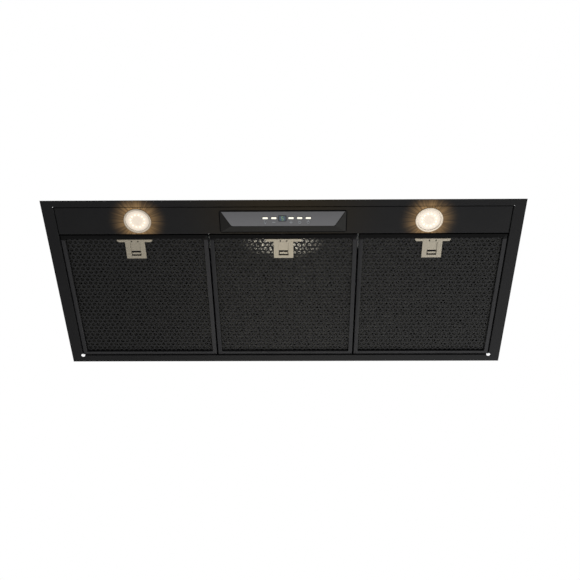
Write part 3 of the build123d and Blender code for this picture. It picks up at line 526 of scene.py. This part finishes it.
def galvanised_sheet(name):
    """Hot-dip galvanised steel sheet: pale zinc with spangles about 9 mm across."""
    made, tree, shader, place = start_material(name, linear("B4B9BC"), 0.4, 0.9)
    spangle = add_node(tree, "TexVoronoi", {"Vector": place, "Scale": 1 / (9 * MM)})
    tone = add_node(tree, "SeparateColor", {"Color": spangle.outputs["Color"]})
    zinc = add_node(
        tree, "Mix", {"Factor": tone, MIX_A: linear("A6ABAE"), MIX_B: linear("B7BBBE")},
        data_type="RGBA",
    ).outputs[MIXED]
    rough = add_node(
        tree, "MapRange", {"Value": tone.outputs[1], "To Min": 0.37, "To Max": 0.45}
    )
    ripple = grain(tree, place, 1.5 * MM)
    relief = add_node(tree, "Bump", {"Height": ripple, "Distance": 0.01 * MM})
    set_inputs(shader, {"Base Color": zinc, "Roughness": rough, "Normal": relief})
    return made


def mill_aluminium(name, stretch):
    """Extruded or rolled aluminium, left as it came from the die: long faint draw lines."""
    made, tree, shader, place = start_material(name, linear("C8C9CB"), 0.36, 1.0)
    lines = grain(tree, place, 0.5 * MM, stretch=stretch)
    relief = add_node(tree, "Bump", {"Height": lines, "Distance": 0.006 * MM})
    rough = add_node(tree, "MapRange", {"Value": lines, "To Min": 0.28, "To Max": 0.42})
    set_inputs(shader, {"Roughness": rough, "Normal": relief})
    return made


def ground_steel(name):
    """Bright steel rod, ground to size: fine rings round it."""
    made, tree, shader, place = start_material(name, linear("BFC1C4"), 0.22, 1.0)
    rings = grain(tree, place, 0.3 * MM, stretch=(1, 40, 40))
    relief = add_node(tree, "Bump", {"Height": rings, "Distance": 0.003 * MM})
    set_inputs(shader, {"Normal": relief})
    return made


def motor_enamel(name):
    """Stoving enamel on the motor's pressed can: dark grey and slightly glossy."""
    made, tree, shader, place = start_material(name, linear("3B3E42"), 0.35)
    # laminations of the stator, 1.5 mm apart, show as faint bands round the can
    across = add_node(tree, "SeparateXYZ", {0: place}).outputs["X"]
    turns = add_node(tree, "Math", {0: across, 1: 2 * math.pi / (1.5 * MM)}, operation="MULTIPLY")
    bands = add_node(tree, "Math", {0: turns}, operation="SINE")
    relief = add_node(tree, "Bump", {"Height": bands, "Distance": 0.05 * MM})
    set_inputs(shader, {"Normal": relief})
    return made


def zinc_plate(name):
    """Bright zinc plate on a small screw: cool, with a trace of rainbow from its passivation."""
    made, tree, shader, place = start_material(name, linear("BCC0C6"), 0.28, 1.0)
    sheen = grain(tree, place, 6 * MM)
    plate = add_node(
        tree, "Mix", {"Factor": sheen, MIX_A: linear("B4BCC8"), MIX_B: linear("CCC8B8")},
        data_type="RGBA",
    ).outputs[MIXED]
    set_inputs(shader, {"Base Color": plate})
    return made


def painted_floor(name):
    """Studio floor, painted a matt white: pale to the camera and in gloss, with soft shadows."""
    made, tree, shader, place = start_material(
        name, linear("EDEDED"), 0.9, **{"Emission Color": linear("F4F4F4")}
    )
    worn = grain(tree, place, 400 * MM)
    paint_film = add_node(
        tree, "Mix", {"Factor": worn, MIX_A: linear("ECECEC"), MIX_B: linear("F1F1F1")},
        data_type="RGBA",
    ).outputs[MIXED]
    glow = add_node(
        tree, "MapRange", {"Value": seen_directly(tree), "To Min": 0.0, "To Max": 0.48}
    )
    set_inputs(shader, {"Base Color": paint_film, "Emission Strength": glow})
    return made


def seen_directly(tree):
    """1 for what the camera sees, directly, in gloss or through glass, and 0 for other light."""
    path = add_node(tree, "LightPath")
    seen = path.outputs["Is Camera Ray"]
    for kind in ("Is Glossy Ray", "Is Transmission Ray"):
        seen = add_node(tree, "Math", {0: seen, 1: path.outputs[kind]}, operation="MAXIMUM")
    return seen


def paint(material, *names):
    """Give CAD nodes their material."""
    for name in names:
        mesh = NODES[name].data
        mesh.materials.clear()
        mesh.materials.append(material)


def soften(width, *names):
    """Round the sharp edges of CAD nodes by a small bevel, as folded and moulded edges are."""
    same_corner = 0.01 * MM
    sharp = math.radians(40)
    for name in names:
        joined = NODES[name].modifiers.new("joined_corners", "WELD")
        joined.merge_threshold = same_corner
        edge = NODES[name].modifiers.new("soft_edges", "BEVEL")
        edge.width = width
        edge.segments = 2
        edge.limit_method = "ANGLE"
        edge.angle_limit = sharp
        edge.use_clamp_overlap = True


# ---- Places read from the frame ----


def middle(name):
    """Middle of a CAD node's box."""
    low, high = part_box(name)
    return (low + high) / 2


def lamp_centres():
    """The two lamps' centres, on the panel's lower face."""
    low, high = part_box("lamp_bezels")
    radius = (high.y - low.y) / 2
    return [
        Vector((x, (low.y + high.y) / 2, high.z)) for x in (low.x + radius, high.x - radius)
    ]


def fascia_frame():
    """Matrix of the fascia's outer face: X along the keys, Y up its slope, Z out of it."""
    mesh = NODES["control_fascia"].data
    # its largest face that looks down
    face = max(mesh.polygons, key=lambda p: (p.normal.z < 0) * p.area)
    outward = face.normal.normalized()
    along = Vector((1, 0, 0))
    upward = outward.cross(along)
    origin = face.center - along * face.center.dot(along)
    return Matrix(
        [(along[i], upward[i], outward[i], origin[i]) for i in range(3)] + [(0, 0, 0, 1)]
    )


def make_piece(name, mesh, material, body, smooth=False):
    """Link a finished mesh as a piece that rides on a CAD body."""
    mesh.materials.append(material)
    if smooth:
        mesh.shade_smooth()
    piece = bpy.data.objects.new(name, mesh)
    bpy.context.scene.collection.objects.link(piece)
    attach(piece, body)
    return piece


# ---- Pieces ----


def hexagonal_sheet(low, high, pitch, hole, sides, turn=0.0):
    """A sheet of many-sided holes in a hexagonal grid, its rows turned from X."""
    row = pitch * math.sin(math.radians(60))
    # the punch leaves each hole a little wider where it went in
    punched, far = hole / 2, hole / 2.15
    centre = (low + high) / 2
    turned = Matrix.Rotation(turn, 2)
    reach = int((high - low).length / 2 / row) + 1
    sheet = bmesh.new()
    for j in range(-reach, reach + 1):
        for i in range(-reach, reach + 1):
            x, y = centre.xy + turned @ Vector(((i + (j % 2) / 2) * pitch, j * row))
            if min(x - low.x, high.x - x, y - low.y, high.y - y) < pitch / 2:
                continue
            rings = []
            for k in range(sides):
                angle = 2 * math.pi * k / sides
                c, s = math.cos(angle + turn), math.sin(angle + turn)
                # distance to the edge of the hexagonal cell in this direction
                wedge = (angle + math.pi / 6) % (math.pi / 3) - math.pi / 6
                edge = pitch / 2 / math.cos(wedge)
                section = ((edge, low.z), (punched, low.z), (far, high.z), (edge, high.z))
                rings.append([sheet.verts.new((x + r * c, y + r * s, z)) for r, z in section])
            for here, there in zip(rings, rings[1:] + rings[:1]):
                for m in range(3):
                    sheet.faces.new((here[m], here[m + 1], there[m + 1], there[m]))
    return sheet


def strip(sections):
    """A closed strip through a list of sections, each of four corners."""
    shape = bmesh.new()
    rows = [[shape.verts.new(corner) for corner in section] for section in sections]
    for here, there in zip(rows, rows[1:]):
        for m in range(4):
            shape.faces.new((here[m], there[m], there[(m + 1) % 4], here[(m + 1) % 4]))
    shape.faces.new(rows[0])
    shape.faces.new(rows[-1][::-1])
    return shape


def crimped_sheet(low, high, fold, thickness):
    """A sheet folded to a zigzag across Y, between two heights."""
    count = round((high.y - low.y) / fold)
    sections = []
    for k in range(count + 1):
        y = low.y + (high.y - low.y) * k / count
        z = (low.z, high.z - thickness)[k % 2]
        top = z + thickness
        sections.append([(low.x, y, z), (high.x, y, z), (high.x, y, top), (low.x, y, top)])
    return strip(sections)


def bowed_leaf(low, high, thickness):
    """A spring leaf, bowed along X between the rear face of a box and its front face."""
    steps = 24
    sections = []
    for k in range(steps + 1):
        x = low.x + (high.x - low.x) * k / steps
        bow = (1 + math.cos(2 * math.pi * k / steps)) / 2
        front = low.y + (high.y - low.y - thickness) * bow
        rear = front + thickness
        sections.append([
            (x, front, low.z), (x, front, high.z), (x, rear, high.z), (x, rear, low.z),
        ])
    return strip(sections)


def rounded_outline(width, depth, radius):
    """Points of a rectangle with round corners, anticlockwise."""
    steps = 5
    points = []
    for quarter, (sx, sy) in enumerate(((1, 1), (-1, 1), (-1, -1), (1, -1))):
        for k in range(steps + 1):
            angle = math.pi / 2 * (quarter + k / steps)
            points.append((
                sx * (width / 2 - radius) + radius * math.cos(angle),
                sy * (depth / 2 - radius) + radius * math.sin(angle),
            ))
    return points


def ringed(face, place, outer, inner, low, high):
    """A flat ring, or a plate where inner is missing, between two heights over a face."""
    shape = bmesh.new()
    levels = [(outer, low), (outer, high)] + ([(inner, high), (inner, low)] if inner else [])
    rings = [
        [shape.verts.new(face @ Vector((place.x + x, place.y + y, z))) for x, y in outline]
        for outline, z in levels
    ]
    pairs = zip(rings, rings[1:] + rings[:1]) if inner else [rings]
    for here, there in pairs:
        for k in range(len(outer)):
            m = (k + 1) % len(outer)
            shape.faces.new((here[k], here[m], there[m], there[k]))
    if not inner:
        shape.faces.new(rings[1])
        shape.faces.new(rings[0][::-1])
    return shape


def finish_mesh(name, *shapes):
    """One mesh out of several bmesh shapes, which are freed."""
    mesh = bpy.data.meshes.new(name)
    joined = bmesh.new()
    for shape in shapes:
        shape.to_mesh(mesh)
        joined.from_mesh(mesh)
        shape.free()
    joined.to_mesh(mesh)
    joined.free()
    return mesh


class HOOD_OT_coat_body(bpy.types.Operator):
    """Powder-coat the flange, the front panel and the filters' frames"""

    bl_idname = "hood.coat_body"
    bl_label = "Coat the body"

    def execute(self, context):
        colours = context.scene.hood_colours
        # the body's coat carries the lamps' glow and a painted warm light at the middle of the
        # front edge
        coat = powder_coat("satin_black_coat_painted_warm_light", colours.coat[:], colours.glow[:])
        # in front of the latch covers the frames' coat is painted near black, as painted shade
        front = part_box("filter_1_latch_cover")[0].y
        # the frames' coat is painted paler than the body's, as painted light that the frames catch
        pale = shaded(colours.coat[:], 2.4)
        lit_and_shaded_frame_coat = powder_coat("frame_coat_painted_light_and_shade", pale, shade_ahead_of=front)
        frames = [f"filter_{n}_frame" for n in FILTERS]
        paint(coat, "chassis_shell", "front_panel")
        paint(lit_and_shaded_frame_coat, *frames)
        soften(0.4 * MM, *frames)
        return {"FINISHED"}


class HOOD_OT_filter_mesh(bpy.types.Operator):
    """Make each filter's perforated sheet and the aluminium mesh behind it"""

    bl_idname = "hood.filter_mesh"
    bl_label = "Make the filter mesh"

    def execute(self, context):
        sizes = context.scene.hood_sizes
        # the sheets' paler coat is painted light, which the webs between the holes catch
        coat = powder_coat("sheet_coat_painted_light", context.scene.hood_colours.sheet[:])
        foil = expanded_aluminium_painted_glint("expanded_aluminium_painted_glint")
        for n in FILTERS:
            low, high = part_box(f"filter_{n}_grille")
            sheet = hexagonal_sheet(low, high, sizes.hole_pitch, sizes.hole_diameter, sides=12)
            mesh = finish_mesh(f"filter_{n}_sheet", sheet)
            piece = make_piece(f"filter_{n}_sheet", mesh, coat, f"filter_{n}")
            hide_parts(f"filter_{n}_grille")
            mesh = self.make_layers(sizes, n)
            piece = make_piece(f"filter_{n}_layers", mesh, foil, f"filter_{n}")
            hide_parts(f"filter_{n}_core")
        return {"FINISHED"}

    def make_layers(self, sizes, n):
        """Two nets, turned against each other, under a crimped layer that closes the pack."""
        low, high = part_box(f"filter_{n}_core")
        step = Vector((0, 0, (high.z - low.z) / 4))
        gap = Vector((0, 0, 0.2 * MM))
        thickness = 0.4 * MM
        # the second net is coarser, so the two never line up over a stretch
        layers = []
        for level, coarser, turn in ((0, 1.0, sizes.net_turn), (1, 1.25, -sizes.net_turn)):
            pitch = coarser * sizes.net_pitch
            hole = coarser * (sizes.net_pitch - sizes.strand)
            net_low, net_high = low + level * step + gap, high - (3 - level) * step
            layers.append(hexagonal_sheet(net_low, net_high, pitch, hole, 6, turn))
        layers.append(crimped_sheet(low + 2 * step + gap, high, sizes.crimp, thickness))
        return finish_mesh(f"filter_{n}_layers", *layers)


class HOOD_OT_latches(bpy.types.Operator):
    """Plate the three latches, and make the blued leaf springs that flatten behind them"""

    bl_idname = "hood.latches"
    bl_label = "Finish the latches"

    def execute(self, context):
        colour = context.scene.hood_colours.latch[:]
        covers = [f"filter_{n}_latch_cover" for n in FILTERS]
        paint(plated_steel("nickel_plated_steel", colour), *covers)
        soften(0.2 * MM, *covers)
        cover_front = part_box(covers[0])[0].y
        # the sliders' tongues, in front of the covers, are painted near black as painted shade
        paint(
            plated_steel("nickel_plated_steel_painted_shade_tip", colour, cover_front),
            *[f"filter_{n}_latch_slider" for n in FILTERS],
        )
        blued = spring_strip("blued_spring_strip")
        thickness = 0.3 * MM
        for n in FILTERS:
            name = f"filter_{n}_leaf_spring"
            low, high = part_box(f"filter_{n}_latch_spring")
            mesh = finish_mesh(name, bowed_leaf(low, high, thickness))
            piece = make_piece(name, mesh, blued, f"filter_{n}")
            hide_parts(f"filter_{n}_latch_spring")
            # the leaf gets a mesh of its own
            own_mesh(piece)
        return {"FINISHED"}


class HOOD_OT_lamps(bpy.types.Operator):
    """Finish the lamps and put the bright dots of their diodes in the diffusers"""

    bl_idname = "hood.lamps"
    bl_label = "Make the lamps"

    def execute(self, context):
        sizes, colours = context.scene.hood_sizes, context.scene.hood_colours
        paint(turned_aluminium("turned_aluminium"), "lamp_bezels")
        paint(opal_diffuser("opal_polycarbonate", colours.lamp[:]), "lamp_lenses")
        paint(circuit_laminate("green_circuit_laminate"), "lamp_boards")
        paint(mill_aluminium("extruded_aluminium", (1, 60, 60)), "lamp_heat_sinks")
        soften(0.5 * MM, "lamp_bezels")
        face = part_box("lamp_lenses")[0].z
        # each dot is the bright cap that a diode makes in the diffuser's face
        radius, flatness = 1.6 * MM, 0.12
        dots = bmesh.new()
        for centre in lamp_centres():
            for k in range(sizes.led_count):
                angle = 2 * math.pi * (k + 0.5) / sizes.led_count
                spot = Vector((
                    centre.x + sizes.led_ring / 2 * math.cos(angle),
                    centre.y + sizes.led_ring / 2 * math.sin(angle),
                    face,
                ))
                bmesh.ops.create_uvsphere(
                    dots, u_segments=12, v_segments=6, radius=radius,
                    matrix=Matrix.Translation(spot) @ Matrix.Diagonal((1, 1, flatness, 1)),
                )
        glow = lit_phosphor("lit_phosphor", colours.lamp[:])
        make_piece(
            "lamp_diodes", finish_mesh("lamp_diodes", dots), glow, "root", smooth=True
        )
        return {"FINISHED"}


class HOOD_OT_control_housing(bpy.types.Operator):
    """Finish the control housing, its printed film and its board, and lay a thin black strip round
    it on the panel, as painted shade
    """

    bl_idname = "hood.control_housing"
    bl_label = "Make the control housing"

    def execute(self, context):
        fascia = context.scene.hood_colours.fascia[:]
        housing = textured_plastic("black_moulded_abs", linear("1D1C1A"), specular=0.1)
        paint(housing, "control_housing")
        paint(printed_film("grey_printed_film_painted_light", fascia), "control_fascia")
        paint(circuit_laminate("control_circuit_laminate"), "control_board")
        soften(0.5 * MM, "control_housing")
        self.lay_shade_line()
        return {"FINISHED"}

    def lay_shade_line(self):
        """Thin black strip round the housing on the panel: painted shade, for the dark line between
        the housing and the panel.
        """
        low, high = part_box("control_housing")
        panel_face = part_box("front_panel")[0].z
        face = Matrix.Diagonal((1, -1, -1, 1))
        place = face @ ((low + high) / 2)
        width, depth = high.x - low.x, high.y - low.y
        lip, thickness = 1.3 * MM, 0.3 * MM
        outer = rounded_outline(width + 2 * lip, depth + 2 * lip, 4.5 * MM)
        inner = rounded_outline(width - lip, depth - lip, 4.0 * MM)
        shadow_strip = ringed(face, place, outer, inner, -panel_face, thickness - panel_face)
        mesh = finish_mesh("housing_painted_shade", shadow_strip)
        # near black, as painted shade
        shade_black = textured_plastic("black_shade_strip", linear("0B0B0B"), 0.7, specular=0.02)
        make_piece("housing_painted_shade", mesh, shade_black, "root")


class HOOD_OT_keys(bpy.types.Operator):
    """Finish the five keys, and put a lit window in the top of each cap"""

    bl_idname = "hood.keys"
    bl_label = "Make the keys"

    def execute(self, context):
        paint(textured_plastic("grey_key_abs", linear("5E5E60"), 0.4, 0.3), *KEYS)
        soften(0.6 * MM, *KEYS)
        lit = lit_acrylic("white_key_acrylic", linear("FFFBEA"), 0.62)
        face = fascia_frame()
        outline = rounded_outline(width=9.6 * MM, depth=3.3 * MM, radius=1.0 * MM)
        sunk, proud = 0.1 * MM, 0.05 * MM
        for key in KEYS:
            top = max((face.inverted() @ v.co).z for v in NODES[key].data.vertices)
            place = face.inverted() @ middle(key)
            window = ringed(face, place, outline, None, top - sunk, top + proud)
            name = f"{key}_window"
            make_piece(name, finish_mesh(name, window), lit, key)
        return {"FINISHED"}


class HOOD_OT_display(bpy.types.Operator):
    """Light the display window and its figure 5, and print the border round it"""

    bl_idname = "hood.display"
    bl_label = "Make the display"

    def execute(self, context):
        colours = context.scene.hood_colours
        paint(lit_acrylic("blue_display_acrylic", colours.display[:], 0.25), "display_window")
        face = fascia_frame()
        place = face.inverted() @ middle("display_window")
        self.make_digit(face, place, colours.digit[:])
        self.print_border(face, place)
        return {"FINISHED"}

    def make_digit(self, face, place, colour):
        """Lit segments of the figure, each a bar over the window."""
        height, width, line = 6.4 * MM, 3.4 * MM, 0.9 * MM
        lift, thickness = 0.02 * MM, 0.08 * MM
        bars = [
            (0, height / 2, width, line), (0, 0, width, line), (0, -height / 2, width, line),
            (-width / 2, height / 4, line, height / 2), (width / 2, -height / 4, line, height / 2),
        ]
        segments = bmesh.new()
        for x, y, wide, high in bars:
            bmesh.ops.create_cube(
                segments, size=1,
                matrix=face
                @ Matrix.Translation((place.x + x, place.y + y, lift))
                @ Matrix.Diagonal((wide, high, thickness, 1)),
            )
        lit = lit_acrylic("green_digit_segments", colour, 0.5)
        mesh = finish_mesh("display_digit", segments)
        make_piece("display_digit", mesh, lit, "root")

    def print_border(self, face, place):
        """Black border with round corners."""
        outer = rounded_outline(width=15.9 * MM, depth=11.8 * MM, radius=2.4 * MM)
        inner = rounded_outline(width=11.6 * MM, depth=8.4 * MM, radius=1.0 * MM)
        thickness = 0.08 * MM
        border = ringed(face, place, outer, inner, 0.0, thickness)
        ink = textured_plastic("black_border_ink", linear("232425"), 0.35)
        mesh = finish_mesh("display_border", border)
        make_piece("display_border", mesh, ink, "root")


class HOOD_OT_marks(bpy.types.Operator):
    """Print a generic mark to the rear of each key: lamp, minus, plus, clock and power"""

    bl_idname = "hood.marks"
    bl_label = "Print the marks"

    def execute(self, context):
        sizes = context.scene.hood_sizes
        half, line = sizes.mark_height / 2, sizes.mark_line
        rearward, lift, thickness = 7.9 * MM, 0.02 * MM, 0.06 * MM
        face = fascia_frame()
        marks = bmesh.new()
        for key, strokes in self.drawings().items():
            spot = face.inverted() @ middle(key) - Vector((0, rearward, 0))
            for stroke in strokes:
                for start, end in zip(stroke, stroke[1:]):
                    run = (Vector(end) - Vector(start)) * half
                    at = spot.xy + (Vector(end) + Vector(start)) / 2 * half
                    bmesh.ops.create_cube(
                        marks, size=1,
                        matrix=face
                        @ Matrix.Translation((at.x, at.y, lift))
                        @ Matrix.Rotation(math.atan2(run.y, run.x), 4, "Z")
                        @ Matrix.Diagonal((run.length + line, line, thickness, 1)),
                    )
        mesh = finish_mesh("key_marks", marks)
        make_piece("key_marks", mesh, screen_ink("pale_screen_ink"), "root")
        return {"FINISHED"}

    def drawings(self):
        """Strokes of each key's mark, in half heights from the mark's middle."""
        ring = [(math.cos(k * math.pi / 12), math.sin(k * math.pi / 12)) for k in range(25)]
        open_ring = ring[8:] + ring[:5]
        return {
            "key_light": [
                [(0.55 * x, 0.35 + 0.55 * y) for x, y in ring],
                [(-0.25, -0.35), (-0.25, -0.8), (0.25, -0.8), (0.25, -0.35)],
            ],
            "key_minus": [[(-0.7, 0), (0.7, 0)]],
            "key_plus": [[(-0.7, 0), (0.7, 0)], [(0, -0.7), (0, 0.7)]],
            "key_timer": [[(0.75 * x, 0.75 * y) for x, y in ring], [(0, 0.5), (0, 0), (0.4, 0)]],
            "key_power": [[(0.7 * x, 0.7 * y) for x, y in open_ring], [(0, 0.2), (0, 0.95)]],
        }


class HOOD_OT_sheet_metal(bpy.types.Operator):
    """Finish the galvanised deck, boxes, scroll, collar and damper flaps"""

    bl_idname = "hood.sheet_metal"
    bl_label = "Finish the sheet metal"

    def execute(self, context):
        zinc = galvanised_sheet("galvanised_steel_sheet")
        paint(
            zinc, "top_deck", "motor_box", "volute_scroll", "volute_side_left",
            "volute_side_right", "supply_box", "supply_box_lid", "duct_collar",
            "damper_flap_front", "damper_flap_rear",
        )
        soften(0.8 * MM, "top_deck", "motor_box", "supply_box_lid", "duct_collar")
        paint(ground_steel("ground_steel_pin"), "damper_pin")
        return {"FINISHED"}


class HOOD_OT_blower(bpy.types.Operator):
    """Finish the wheel, its shaft, the motor and its capacitor"""

    bl_idname = "hood.blower"
    bl_label = "Finish the blower"

    def execute(self, context):
        paint(mill_aluminium("rolled_aluminium", (60, 1, 1)), "impeller_wheel")
        paint(ground_steel("ground_steel_shaft"), "impeller_shaft")
        paint(motor_enamel("grey_motor_enamel"), "motor_body")
        paint(textured_plastic("white_capacitor_shell", linear("DCDCD6"), 0.4), "run_capacitor")
        return {"FINISHED"}


class HOOD_OT_supply(bpy.types.Operator):
    """Finish the terminals, the power board and the cable gland"""

    bl_idname = "hood.supply"
    bl_label = "Finish the supply"

    def execute(self, context):
        paint(textured_plastic("white_terminal_nylon", linear("D8D8D0"), 0.45), "terminal_block")
        paint(circuit_laminate("power_circuit_laminate"), "power_board")
        paint(textured_plastic("black_gland_nylon", linear("202022"), 0.4), "cable_gland")
        soften(0.4 * MM, "cable_gland")
        return {"FINISHED"}


class HOOD_OT_screws(bpy.types.Operator):
    """Zinc-plate the body's screws and round their heads' edges"""

    bl_idname = "hood.screws"
    bl_label = "Finish the screws"

    def execute(self, context):
        paint(zinc_plate("bright_zinc_plate"), "body_screws")
        soften(0.5 * MM, "body_screws")
        return {"FINISHED"}


class HOOD_OT_stage(bpy.types.Operator):
    """Set the pale floor, the soft lights and the camera"""

    bl_idname = "hood.stage"
    bl_label = "Set the stage"

    def execute(self, context):
        scene = context.scene
        scene.view_settings.view_transform = "Standard"
        # floor well below the hood, which hangs over it as it does over a cooktop
        drop, reach = 2.4, 60
        corners = [(x * reach, y * reach, 0) for x, y in ((-1, -1), (1, -1), (1, 1), (-1, 1))]
        mesh = bpy.data.meshes.new("studio_floor")
        mesh.from_pydata(corners, [], [(0, 1, 2, 3)])
        mesh.materials.append(painted_floor("matt_white_floor_paint"))
        floor = bpy.data.objects.new("studio_floor", mesh)
        floor.location.z = -drop
        scene.collection.objects.link(floor)
        self.set_world(scene)
        # name, place and target in metres, side of the square in metres, power in watts, colour
        for light in (
            ("light_below_rear", (0.35, 1.4, -1.2), (0, 0, 0), 1.4, 12, "FFFFFF"),
            ("light_below_middle", (-0.03, 1.02, -1.5), (0, 0, 0), 0.5, 2.6, "FFF3DC"),
            ("light_below_right", (1.4, 0.9, -1.0), (0, 0, 0), 1.0, 10, "FFFFFF"),
            ("light_above_left", (-1.6, -1.4, 2.2), (0, 0, 0.15), 1.8, 34, "FFFFFF"),
            ("light_above_right", (1.8, 1.2, 1.9), (0, 0, 0.15), 1.6, 24, "FFFFFF"),
        ):
            self.add_light(*light)
        self.add_camera(scene)
        return {"FINISHED"}

    def set_world(self, scene):
        """A white backdrop to the camera, in glass and in gloss, and a soft sky for the light."""
        world = bpy.data.worlds.new("studio_world")
        scene.world = world
        world.use_nodes = True
        tree = world.node_tree
        tree.nodes.clear()
        strength = add_node(
            tree, "MapRange", {"Value": seen_directly(tree), "To Min": 0.36, "To Max": 1.0}
        )
        sky = add_node(tree, "Background", {"Color": linear("FFFFFF"), "Strength": strength})
        add_node(tree, "OutputWorld", {"Surface": sky})

    def add_light(self, name, place, target, size, power, colour):
        """A square soft light that faces a point."""
        light = bpy.data.lights.new(name, "AREA")
        light.color = linear(colour)[:3]
        light.size = size
        light.energy = power
        lamp = bpy.data.objects.new(name, light)
        lamp.location = place
        lamp.rotation_euler = (Vector(target) - Vector(place)).to_track_quat("-Z", "Y").to_euler()
        bpy.context.scene.collection.objects.link(lamp)

    def add_camera(self, scene):
        """The photograph's view: from below and in front, a little to the right."""
        # film width and lens in millimetres, place in metres
        film, lens = 36, 49.63
        place = (0.02899, -0.90440, -1.30228)
        right = Vector((0.999935, 0.008825, 0.007155))
        up = Vector((0.003111, -0.818373, 0.574679))
        back = right.cross(up)
        data = bpy.data.cameras.new("photo_camera")
        data.sensor_width = film
        data.lens = lens
        camera = bpy.data.objects.new("photo_camera", data)
        rows = [(right[i], up[i], back[i]) for i in range(3)]
        camera.matrix_world = Matrix.Translation(place) @ Matrix(rows).to_4x4()
        scene.collection.objects.link(camera)
        scene.camera = camera


class HOOD_PT_panel(bpy.types.Panel):
    """Lists the steps that dress the hood"""

    bl_idname = "HOOD_PT_panel"
    bl_label = "Range Hood Insert"
    bl_space_type = "VIEW_3D"
    bl_region_type = "UI"
    bl_category = "Hood"

    def draw(self, context):
        for group in (context.scene.hood_sizes, context.scene.hood_colours):
            for name in group.__annotations__:
                self.layout.prop(group, name)
        for step in STEPS:
            self.layout.operator(step.bl_idname)


STEPS = (
    HOOD_OT_coat_body,
    HOOD_OT_filter_mesh,
    HOOD_OT_latches,
    HOOD_OT_lamps,
    HOOD_OT_control_housing,
    HOOD_OT_keys,
    HOOD_OT_display,
    HOOD_OT_marks,
    HOOD_OT_sheet_metal,
    HOOD_OT_blower,
    HOOD_OT_supply,
    HOOD_OT_screws,
    HOOD_OT_stage,
)
CLASSES = (HoodSizes, HoodColours, *STEPS, HOOD_PT_panel)


def register():
    for made in CLASSES:
        bpy.utils.register_class(made)
    bpy.types.Scene.hood_sizes = bpy.props.PointerProperty(type=HoodSizes)
    bpy.types.Scene.hood_colours = bpy.props.PointerProperty(type=HoodColours)


def unregister():
    del bpy.types.Scene.hood_sizes
    del bpy.types.Scene.hood_colours
    for made in reversed(CLASSES):
        bpy.utils.unregister_class(made)


def main():
    """Dress the frame step by step."""
    register()
    for step in STEPS:
        group, name = step.bl_idname.split(".")
        getattr(getattr(bpy.ops, group), name)()


if __name__ == "__main__":
    main()
